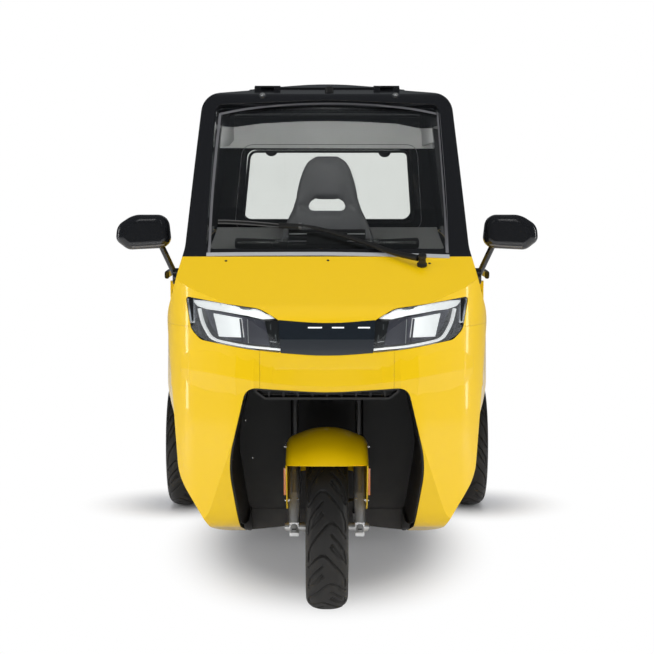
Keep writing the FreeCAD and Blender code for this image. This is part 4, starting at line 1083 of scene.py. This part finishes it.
sealOuter = wallPlaces(roundedPixels(rearPiece["recess"], rearPiece["recessRadius"]), backTree)
sealInner = wallPlaces(roundedPixels(rearPiece["window"], rearPiece["radius"]), backTree)
sealRubber = makeMaterial("SealRubber", (0.012, 0.012, 0.013), rough=0.45)
sealGrey = makeMaterial("SealGrey", (0.12, 0.12, 0.13), rough=0.4)
sealMeshes = [
    withMaterial(ribbon("seal_in", sealInner + sealInner[:1], [0.010], liningPlace, 0.004,
                        0.0), sealRubber),
    withMaterial(ribbon("seal_out", sealOuter + sealOuter[:1], [0.0022], liningPlace, 0.003,
                        0.0), sealGrey),
]
for px, py in rearPiece["tabs"]:
    half = [(px + rearPiece["tabHalf"] * math.cos(math.pi * k / 10),
             py + rearPiece["tabHigh"] * math.sin(math.pi * k / 10)) for k in range(11)]
    sealMeshes.append(withMaterial(
        patch("tab", wallPlaces(half, backTree), liningPlace, 0.008, 0.006), sealRubber))
addJoined("rear_window_seal", sealMeshes, "chassis",
          "black_plastic")
print("rear window seal made")

# seats: pads swollen by a cloth simulation, with seams pressed in after it

padVinyl = makeMaterial("PadVinyl", (0.050, 0.050, 0.053), rough=0.5, grains=(420, 0.5),
                        spread=(30, 0.08))
seamReach = 0.012
backHalf = [(0.153, 0.476), (0.171, 0.522), (0.178, 0.700), (0.180, 0.930), (0.176, 1.000),
            (0.160, 1.050), (0.142, 1.092), (0.124, 1.128), (0.111, 1.160), (0.101, 1.195),
            (0.093, 1.228), (0.082, 1.262), (0.064, 1.293), (0.036, 1.310)]
padPieces = [
    # box: half width, low y, high y, low z, high z; room: the space that its solid holds
    {"name": "driver_cushion_pad", "box": (0.176, -0.195, 0.154, 0.565, 0.634),
     "nodes": ["driver_seat"], "voxel": 0.006, "cap": 0.010, "fill": 0.7, "deep": 0.006,
     "seams": [[(-0.115, -0.20, 0.642), (-0.115, 0.16, 0.642)],
               [(0.115, -0.20, 0.642), (0.115, 0.16, 0.642)],
               [(-0.115, -0.02, 0.642), (0.115, -0.02, 0.642)]],
     "room": ((-0.183, -0.204, 0.5605), (0.183, 0.160, 0.648))},
    {"name": "driver_back_pad", "front": 0.176, "rear": 0.238,
     "outline": backHalf + [(-x, z) for x, z in reversed(backHalf)],
     "slot": [(-0.050, 1.124), (0.050, 1.124), (0.0625, 1.130), (0.0665, 1.141),
              (0.058, 1.158), (0.040, 1.164), (-0.040, 1.164), (-0.058, 1.158),
              (-0.0665, 1.141), (-0.0625, 1.130)],
     "nodes": [], "voxel": 0.006, "cap": 0.010, "fill": 0.75, "deep": 0.006,
     "seams": [[(-0.180, 0.170, 0.985), (-0.09, 0.170, 0.972), (0.09, 0.170, 0.972),
                (0.180, 0.170, 0.985)],
               [(-0.112, 0.170, 0.56), (-0.118, 0.170, 0.972)],
               [(0.112, 0.170, 0.56), (0.118, 0.170, 0.972)]],
     "room": ((-0.183, 0.162, 0.472), (0.183, 0.246, 1.310))},
    {"name": "rear_cushion_pad", "box": (0.296, 0.409, 0.566, 0.565, 0.635),
     "nodes": ["rear_seat"], "voxel": 0.006, "cap": 0.010, "fill": 0.7, "deep": 0.006,
     "seams": [[(-0.1, 0.40, 0.643), (-0.1, 0.575, 0.643)],
               [(0.1, 0.40, 0.643), (0.1, 0.575, 0.643)]],
     "room": ((-0.303, 0.401, 0.5605), (0.303, 0.5715, 0.648))},
    {"name": "rear_back_pad", "box": (0.296, 0.577, 0.609, 0.655, 0.986),
     "nodes": [], "voxel": 0.0065, "cap": 0.006, "fill": 0.7, "deep": 0.005,
     "seams": [[(-0.1, 0.572, 0.66), (-0.1, 0.572, 0.985)],
               [(0.1, 0.572, 0.66), (0.1, 0.572, 0.985)]],
     "room": ((-0.303, 0.5735, 0.648), (0.303, 0.6127, 0.994))},
]


def boxPad(row):
    half, lowY, highY, lowZ, highZ = row["box"]
    bm = bmesh.new()
    bmesh.ops.create_cube(bm, size=1)
    for vert in bm.verts:
        vert.co = Vector((vert.co.x * 2 * half, (lowY + highY) / 2 + vert.co.y * (highY - lowY),
                          (lowZ + highZ) / 2 + vert.co.z * (highZ - lowZ)))
    bmesh.ops.bevel(bm, geom=bm.edges[:], offset=min(0.018, (highY - lowY) * 0.35), segments=4,
                    affect="EDGES", profile=0.5)
    mesh = bpy.data.meshes.new(row["name"])
    bm.to_mesh(mesh)
    bm.free()
    return mesh


def outlinePad(row):
    # flat pad of one outline with a slot through it
    bm = bmesh.new()
    edges = []
    for loop in (row["outline"], row["slot"]):
        verts = [bm.verts.new((x, row["front"], z)) for x, z in loop]
        edges += [bm.edges.new((verts[i], verts[(i + 1) % len(verts)]))
                  for i in range(len(verts))]
    bmesh.ops.triangle_fill(bm, use_beauty=True, edges=edges)
    result = bmesh.ops.extrude_face_region(bm, geom=bm.faces[:])
    for item in result["geom"]:
        if isinstance(item, bmesh.types.BMVert):
            item.co.y = row["rear"]
    bmesh.ops.recalc_face_normals(bm, faces=bm.faces)
    rim = [e for e in bm.edges if abs(e.verts[0].co.y - e.verts[1].co.y) < 1e-6
           and len(e.link_faces) == 2 and abs(e.link_faces[0].normal.dot(
               e.link_faces[1].normal)) < 0.5]
    bmesh.ops.bevel(bm, geom=rim, offset=0.010, segments=3, affect="EDGES", profile=0.5)
    mesh = bpy.data.meshes.new(row["name"])
    bm.to_mesh(mesh)
    bm.free()
    return mesh


def pressed(mesh, lines, deep):
    # seams pressed into the finished pad: lines of (x, y, z) points
    marks = [(Vector(a), Vector(b)) for line in lines for a, b in zip(line, line[1:])]
    moved = []
    for vert in mesh.vertices:
        best = 1.0
        for a, b in marks:
            span = b - a
            t = min(1, max(0, (vert.co - a).dot(span) / span.length_squared))
            best = min(best, (vert.co - a - span * t).length)
        share = max(0.0, 1 - best / seamReach)
        moved.append(vert.co - vert.normal * deep * share * share * (3 - 2 * share))
    for vert, co in zip(mesh.vertices, moved):
        vert.co = co
    mesh.update()


def inflated(bases):
    # every pad swells in the same run of the cloth simulation
    live = []
    for row, mesh in bases:
        obj = bpy.data.objects.new(row["name"] + "_sim", mesh)
        scene.collection.objects.link(obj)
        shrink = obj.modifiers.new("Remesh", "REMESH")
        shrink.mode = "VOXEL"
        shrink.voxel_size = row["voxel"]
        shape = bpy.data.meshes.new_from_object(obj.evaluated_get(
            bpy.context.evaluated_depsgraph_get()))
        obj.modifiers.clear()
        obj.data = shape
        cloth = obj.modifiers.new("Cloth", "CLOTH")
        cloth.settings.quality = 4
        cloth.settings.use_pressure = True
        cloth.settings.uniform_pressure_force = 4
        cloth.settings.tension_stiffness = 15
        cloth.settings.compression_stiffness = 15
        cloth.settings.effector_weights.gravity = 0
        cloth.point_cache.frame_start = 1
        cloth.point_cache.frame_end = 20
        live.append((row, obj))
    for number in range(1, 21):
        scene.frame_set(number)
    graph = bpy.context.evaluated_depsgraph_get()
    swollen = [bpy.data.meshes.new_from_object(obj.evaluated_get(graph)) for row, obj in live]
    pads = []
    for (row, obj), shape in zip(live, swollen):
        for vert, start in zip(shape.vertices, obj.data.vertices):
            move = vert.co - start.co
            if move.length > row["cap"]:
                vert.co = start.co + move.normalized() * row["cap"]
        obj.modifiers.clear()
        obj.data = shape
        finer = obj.modifiers.new("Finer", "SUBSURF")
        finer.levels = 1
        finer.render_levels = 1
        pads.append(bpy.data.meshes.new_from_object(
            obj.evaluated_get(bpy.context.evaluated_depsgraph_get())))
        bpy.data.objects.remove(obj)
    scene.frame_set(1)
    return pads


def kept(mesh, low, high):
    # no point of a pad leaves the room that its solid holds
    for vert in mesh.vertices:
        for axis in range(3):
            vert.co[axis] = min(max(vert.co[axis], low[axis]), high[axis])
    mesh.update()


pads = inflated([(row, boxPad(row) if "box" in row else outlinePad(row)) for row in padPieces])
for row, mesh in zip(padPieces, pads):
    pressed(mesh, row["seams"], row["deep"])
    kept(mesh, *row["room"])
    for poly in mesh.polygons:
        poly.use_smooth = True
    withMaterial(mesh, padVinyl)
    addPiece(row["name"], mesh, "chassis", "seat_leather", row["nodes"])
print("seats made")

# splash skirt that ends the arch liner

skirtPiece = {
    "y": -0.5705, "x": 0.2315, "thick": 0.003,
    "rear": [(-0.236, 0.166), (-0.19, 0.170), (-0.13, 0.177), (0, 0.180), (0.13, 0.177),
             (0.19, 0.170), (0.236, 0.166), (0.236, 0.232), (-0.236, 0.232)],
    "side": [(-1.042, 0.266), (-0.92, 0.240), (-0.80, 0.212), (-0.66, 0.182), (-0.572, 0.166),
             (-0.572, 0.236), (-0.80, 0.240), (-1.035, 0.280)],
}


def skirtPlace(x, z, depth):
    return Vector((x, skirtPiece["y"] - depth, z))


def skirtSidePlace(y, z, depth):
    return Vector((skirtPiece["x"] - depth, y, z))


skirtMeshes = [patch("skirt", skirtPiece[key], place, 0.03, skirtPiece["thick"])
               for key, place in (("rear", skirtPlace), ("side", skirtSidePlace))]
skirtMeshes.append(mirroredMesh(skirtMeshes[1]))
for mesh in skirtMeshes:
    withMaterial(mesh, mats["black_plastic"])
addJoined("splash_skirt", skirtMeshes, "chassis", "black_plastic")
print("splash skirt made")

# mirror plates, and the strips on the heads

mirrorPiece = {"x": 0.536, "z": 1.080, "faceY": -0.6752,
               "outline": [(-0.064, -0.030), (-0.046, -0.036), (0.044, -0.042), (0.066, -0.028),
                           (0.074, -0.010), (0.072, 0.016), (0.050, 0.036), (0.028, 0.044),
                           (-0.050, 0.044), (-0.066, 0.030)],
               "strip": [(-0.060, -0.034), (-0.020, -0.038), (0.036, -0.041)]}
mirrorGlass = makeMaterial("MirrorGlass", (0.80, 0.82, 0.84), rough=0.02, metal=1.0,
                           spread=(4, 0.01))


def mirrorPlace(x, z, depth):
    return Vector((mirrorPiece["x"] + x, mirrorPiece["faceY"] + depth, mirrorPiece["z"] + z))


mirrorTree = treeOf("mirrors")


def mirrorFront(x, z, depth):
    spot = Vector((mirrorPiece["x"] + x, -2, mirrorPiece["z"] + z))
    hit = mirrorTree.ray_cast(spot, Vector((0, 1, 0)))[0]
    y = hit.y if hit else -0.72
    return Vector((spot.x, y - 0.0015 + depth, spot.z))


plate = withMaterial(patch("mirror_plate", spline(mirrorPiece["outline"], True, 4),
                           mirrorPlace, 0.02, 0.0025), mirrorGlass)
strip = withMaterial(ribbon("mirror_strip", spline(mirrorPiece["strip"]), [0.005],
                            mirrorFront, 0.004, 0.0), trimGrey)
addJoined("mirror_plates", [plate, strip, mirroredMesh(plate), mirroredMesh(strip)],
          "chassis", "steel_chrome")
print("mirror plates made")

# tail lamp frames and bars on the rear skin

tailTree = treeOf("tail_lamps", "rear_body", "rear_bumper")
tailPiece = {
    "x": (0.412, 0.502), "z": (0.612, 0.838), "frameWide": 0.006, "bars": (0.688, 0.763),
    "barWide": 0.008, "clearX": (0.424, 0.482), "clearZ": (0.624, 0.672),
}


def tailPlace(x, z, depth):
    hit = tailTree.ray_cast(Vector((x, 3, z)), Vector((0, -1, 0)))[0]
    y = hit.y if hit and hit.y > 0.6 else 1.05
    return Vector((x, y + 0.0012 - depth, z))


tailRed = makeMaterial("TailRedDeep", (0.18, 0.002, 0.003), rough=0.15, coat=1.0)
tailClear = makeMaterial("TailClear", (0.62, 0.60, 0.58), rough=0.15, coat=1.0)
lowX, highX = tailPiece["x"]
lowZ, highZ = tailPiece["z"]
frameLine = spline([(lowX, lowZ), (lowX, highZ), (highX, highZ)], False, 12)
tailMeshes = [withMaterial(
    ribbon("tail_frame", frameLine, [tailPiece["frameWide"]], tailPlace, 0.003, 0.0), lampDark)]
for z in tailPiece["bars"]:
    bar = [(lowX + (highX - lowX) * k / 10, z) for k in range(11)]
    tailMeshes.append(withMaterial(
        ribbon("tail_bar", bar, [tailPiece["barWide"]], tailPlace, 0.003, 0.0), tailRed))
clearLow, clearHigh = tailPiece["clearZ"]
clearIn, clearOut = tailPiece["clearX"]
tailMeshes.append(withMaterial(
    patch("tail_clear", [(clearIn, clearLow), (clearIn, clearHigh), (clearOut, clearHigh),
                         (clearOut, clearLow)], tailPlace, 0.01, 0.002), tailClear))
tailMeshes += [mirroredMesh(m) for m in tailMeshes]
addJoined("tail_lamp_frames", tailMeshes, "chassis", "red_lens")
print("tail lamps made")

# black grips over the door handles

gripPiece = {"z": 0.904, "y": (0.046, 0.060, 0.160, 0.174), "in": 0.0075, "ends": 0.002,
             "half": (0.0125, 0.0075)}
for side, body in ((-1, "door_left"), (1, "door_right")):
    low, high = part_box(body)
    gripX = max(abs(low[0]), abs(high[0])) - gripPiece["in"]
    endX = gripX - gripPiece["ends"]
    gripPath = [(side * x, y, gripPiece["z"])
                for x, y in zip((endX, gripX, gripX, endX), gripPiece["y"])]
    grip = sweep("grip", curved(gripPath), [gripPiece["half"]], (side, 0, 0), 16, 0.6)
    addPiece("handle_grip_" + body[5:], withMaterial(grip, mats["black_gloss"]), body,
             "black_gloss")
print("door grips made")

# roof latch knob and hinge bolts

roofPiece = {
    "knob": (0.007, -0.395), "boltPixels": [(262.5, 95.5), (395.5, 95.5)],
    "knobProfile": [(-0.004, 0.013), (0.008, 0.013), (0.014, 0.010), (0.016, 0.004),
                    (0.016, 0.0001)],
    "boltProfile": [(-0.002, 0.0085), (0.004, 0.0085), (0.007, 0.005), (0.007, 0.0001)],
    "cupProfile": [(-0.002, 0.0145), (0.0015, 0.0145), (0.0015, 0.0001)],
}
knobHit = roofTree.ray_cast(Vector((*roofPiece["knob"], 2)), Vector((0, 0, -1)))[0]
roofMeshes = [withMaterial(lathe("knob", roofPiece["knobProfile"], knobHit, (0, 0, 1), 28),
                           mats["black_plastic"])]
for px, py in roofPiece["boltPixels"]:
    hit, normal = hitWithNormal(px, py, roofTree)
    for key, turns, material in (("boltProfile", 20, zincBright), ("cupProfile", 24, lampDark)):
        roofMeshes.append(withMaterial(lathe(key, roofPiece[key], hit, normal, turns), material))
addJoined("roof_fittings", roofMeshes, "chassis", "black_plastic")
print("roof fittings made")

# display, levers and clamps of the handlebar

barPiece = {
    "display": [(-0.118, -0.452, 1.062), (0.118, -0.452, 1.062)], "displayHalf": (0.026, 0.009),
    "edge": [(-0.116, -0.476, 1.066), (0.116, -0.476, 1.066)], "edgeHalf": (0.0016, 0.0022),
    "lever": [(0.150, -0.452, 1.036), (0.175, -0.492, 1.040), (0.225, -0.488, 1.040),
              (0.272, -0.462, 1.038)],
    "leverHalf": [(0.006, 0.0045), (0.005, 0.004)],
    "clamps": [(0.128, -0.4343, 1.0305), (0.152, -0.42542, 1.0305)],
    "clampProfile": [(-0.008, 0.0185), (0.008, 0.0185)],
    "facing": (0, -0.5, 1),
}
barMeshes = [
    withMaterial(sweep("display", barPiece["display"], [barPiece["displayHalf"]],
                       barPiece["facing"], 14, 0.5), mats["black_plastic"]),
    withMaterial(sweep("display_edge", barPiece["edge"], [barPiece["edgeHalf"]],
                       barPiece["facing"], 8), trimPale),
]
for side in (-1, 1):
    lever = curved([(side * x, y, z) for x, y, z in barPiece["lever"]])
    barMeshes.append(withMaterial(sweep("lever", lever, barPiece["leverHalf"], (0, 0, 1)),
                                  zincBright))
    for x, y, z in barPiece["clamps"]:
        barMeshes.append(withMaterial(lathe("clamp", barPiece["clampProfile"], (side * x, y, z),
                                            (1, 0, 0), 20), zincBright))
addJoined("handlebar_fittings", barMeshes, "steering",
          "black_plastic")
print("handlebar fittings made")

# bolts of the plate carrier

platePiece = {"x": 0.09, "z": (0.53, 0.59), "y": 1.1002, "radius": 0.0062, "thick": 0.005}
plateMeshes = [
    withMaterial(hexNut((side * platePiece["x"], platePiece["y"], z), (0, 1, 0),
                        platePiece["radius"], platePiece["thick"]), zincBright)
    for side in (-1, 1) for z in platePiece["z"]]
addJoined("plate_bolts", plateMeshes, "chassis", "steel_chrome")
print("plate bolts made")

# tyres: grooves are pressed into a fine grid round the carcass

tyreLooks = {"radius": 0.2363, "turns": 8, "around": 640, "across": 96, "grooveDeep": 0.0045,
             "grooveHalf": 0.0017}
grooveLines = [
    # (across -1..1, along in half pitches) of one V and its short side cuts
    [(-0.90, -0.62), (-0.88, -0.32), (-0.74, -0.04), (-0.46, 0.24), (-0.10, 0.52), (0.08, 0.62),
     (0.30, 0.63), (0.52, 0.52), (0.90, 0.16)],
    [(0.22, 0.28), (0.58, 0.02), (0.84, -0.28), (0.90, -0.62)],
    [(0.18, -0.10), (0.66, -0.46)],
    [(-0.26, 0.98), (-0.62, 0.62), (-0.92, 0.28)],
]


def tyreProfile(half):
    # (across, radius) of the outer skin from bead to bead
    return [(-half * 0.66, 0.1585), (-half * 0.78, 0.166), (-half * 0.93, 0.180), (-half, 0.196),
            (-half * 0.985, 0.208), (-half * 0.90, 0.2185), (-half * 0.74, 0.2275),
            (-half * 0.5, 0.2335), (-half * 0.25, 0.2358), (0, 0.2363)]


def spreadProfile(points, count):
    # evenly spaced points on a smooth curve through the given ones
    full = points + [(-p[0], p[1]) for p in reversed(points[:-1])]
    curve = spline(full, False, 12)
    marks = [0.0]
    for a, b in zip(curve, curve[1:]):
        marks.append(marks[-1] + math.dist(a, b))
    result = []
    j = 0
    for i in range(count):
        want = marks[-1] * i / (count - 1)
        while j < len(marks) - 2 and marks[j + 1] < want:
            j += 1
        part = (want - marks[j]) / max(marks[j + 1] - marks[j], 1e-9)
        a, b = curve[j], curve[j + 1]
        result.append((a[0] + (b[0] - a[0]) * part, a[1] + (b[1] - a[1]) * part))
    return result


def grooveDepth(across, along, half, pitch):
    # how deep the tread is cut at one point of the unrolled tyre
    best = 9.0
    for turn in (-1, 0, 1, 2):
        flip = 1 if turn % 2 == 0 else -1
        for line in grooveLines:
            for a, b in zip(line, line[1:]):
                ax, ay = a[0] * flip * half * 0.93, (a[1] + turn) * pitch
                bx, by = b[0] * flip * half * 0.93, (b[1] + turn) * pitch
                dx, dy = bx - ax, by - ay
                t = ((across - ax) * dx + (along - ay) * dy) / (dx * dx + dy * dy)
                t = min(1, max(0, t))
                best = min(best, math.hypot(across - ax - t * dx, along - ay - t * dy))
    edge = tyreLooks["grooveHalf"]
    if best <= edge:
        return 1.0
    if best < edge * 2.1:
        return 1 - (best - edge) / (edge * 1.1)
    return 0.0


def makeTyre(nodeName, body, half):
    low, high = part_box(nodeName)
    centre = (Vector(low) + Vector(high)) / 2
    around, across = tyreLooks["around"], tyreLooks["across"]
    profile = spreadProfile(tyreProfile(half), across)
    halfPitches = tyreLooks["turns"] * 2
    pitch = 2 * math.pi * tyreLooks["radius"] / halfPitches
    perTwo = around // tyreLooks["turns"]
    depths = {}
    for k in range(perTwo):
        along = (k / perTwo) * 2 * pitch
        for i, (x, r) in enumerate(profile):
            if r > 0.203:
                cut = grooveDepth(x, along, half, pitch)
                if cut:
                    depths[(k, i)] = cut * tyreLooks["grooveDeep"] * min(1, (r - 0.203) / 0.012)
    points = []
    for k in range(around):
        angle = 2 * math.pi * k / around
        for i, (x, r) in enumerate(profile):
            r -= depths.get((k % perTwo, i), 0)
            points.append((centre.x + x, centre.y - r * math.cos(angle),
                           centre.z + r * math.sin(angle)))
    inner = [(x * 0.985, 0.1515) for x in (profile[-1][0], profile[0][0])]
    start = len(points)
    for k in range(around):
        angle = 2 * math.pi * k / around
        for x, r in inner:
            points.append((centre.x + x, centre.y - r * math.cos(angle),
                           centre.z + r * math.sin(angle)))
    faces = []
    for k in range(around):
        n = (k + 1) % around
        for i in range(across - 1):
            faces.append((k * across + i, k * across + i + 1, n * across + i + 1, n * across + i))
        faces.append((k * across + across - 1, start + 2 * k, start + 2 * n,
                      n * across + across - 1))
        faces.append((start + 2 * k, start + 2 * k + 1, start + 2 * n + 1, start + 2 * n))
        faces.append((start + 2 * k + 1, k * across, n * across, start + 2 * n + 1))
    mesh = meshFrom(nodeName + "_skin", points, faces)
    smoothShade(mesh, 40)
    return addPiece(nodeName + "_tread", mesh, body, "tyre", [nodeName])


makeTyre("tyre_front", "front_wheel", 0.0598)
makeTyre("tyre_rear_left", "rear_wheel_left", 0.0558)
makeTyre("tyre_rear_right", "rear_wheel_right", 0.0558)
print("tyres made")

size = [list(map(float, side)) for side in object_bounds()]
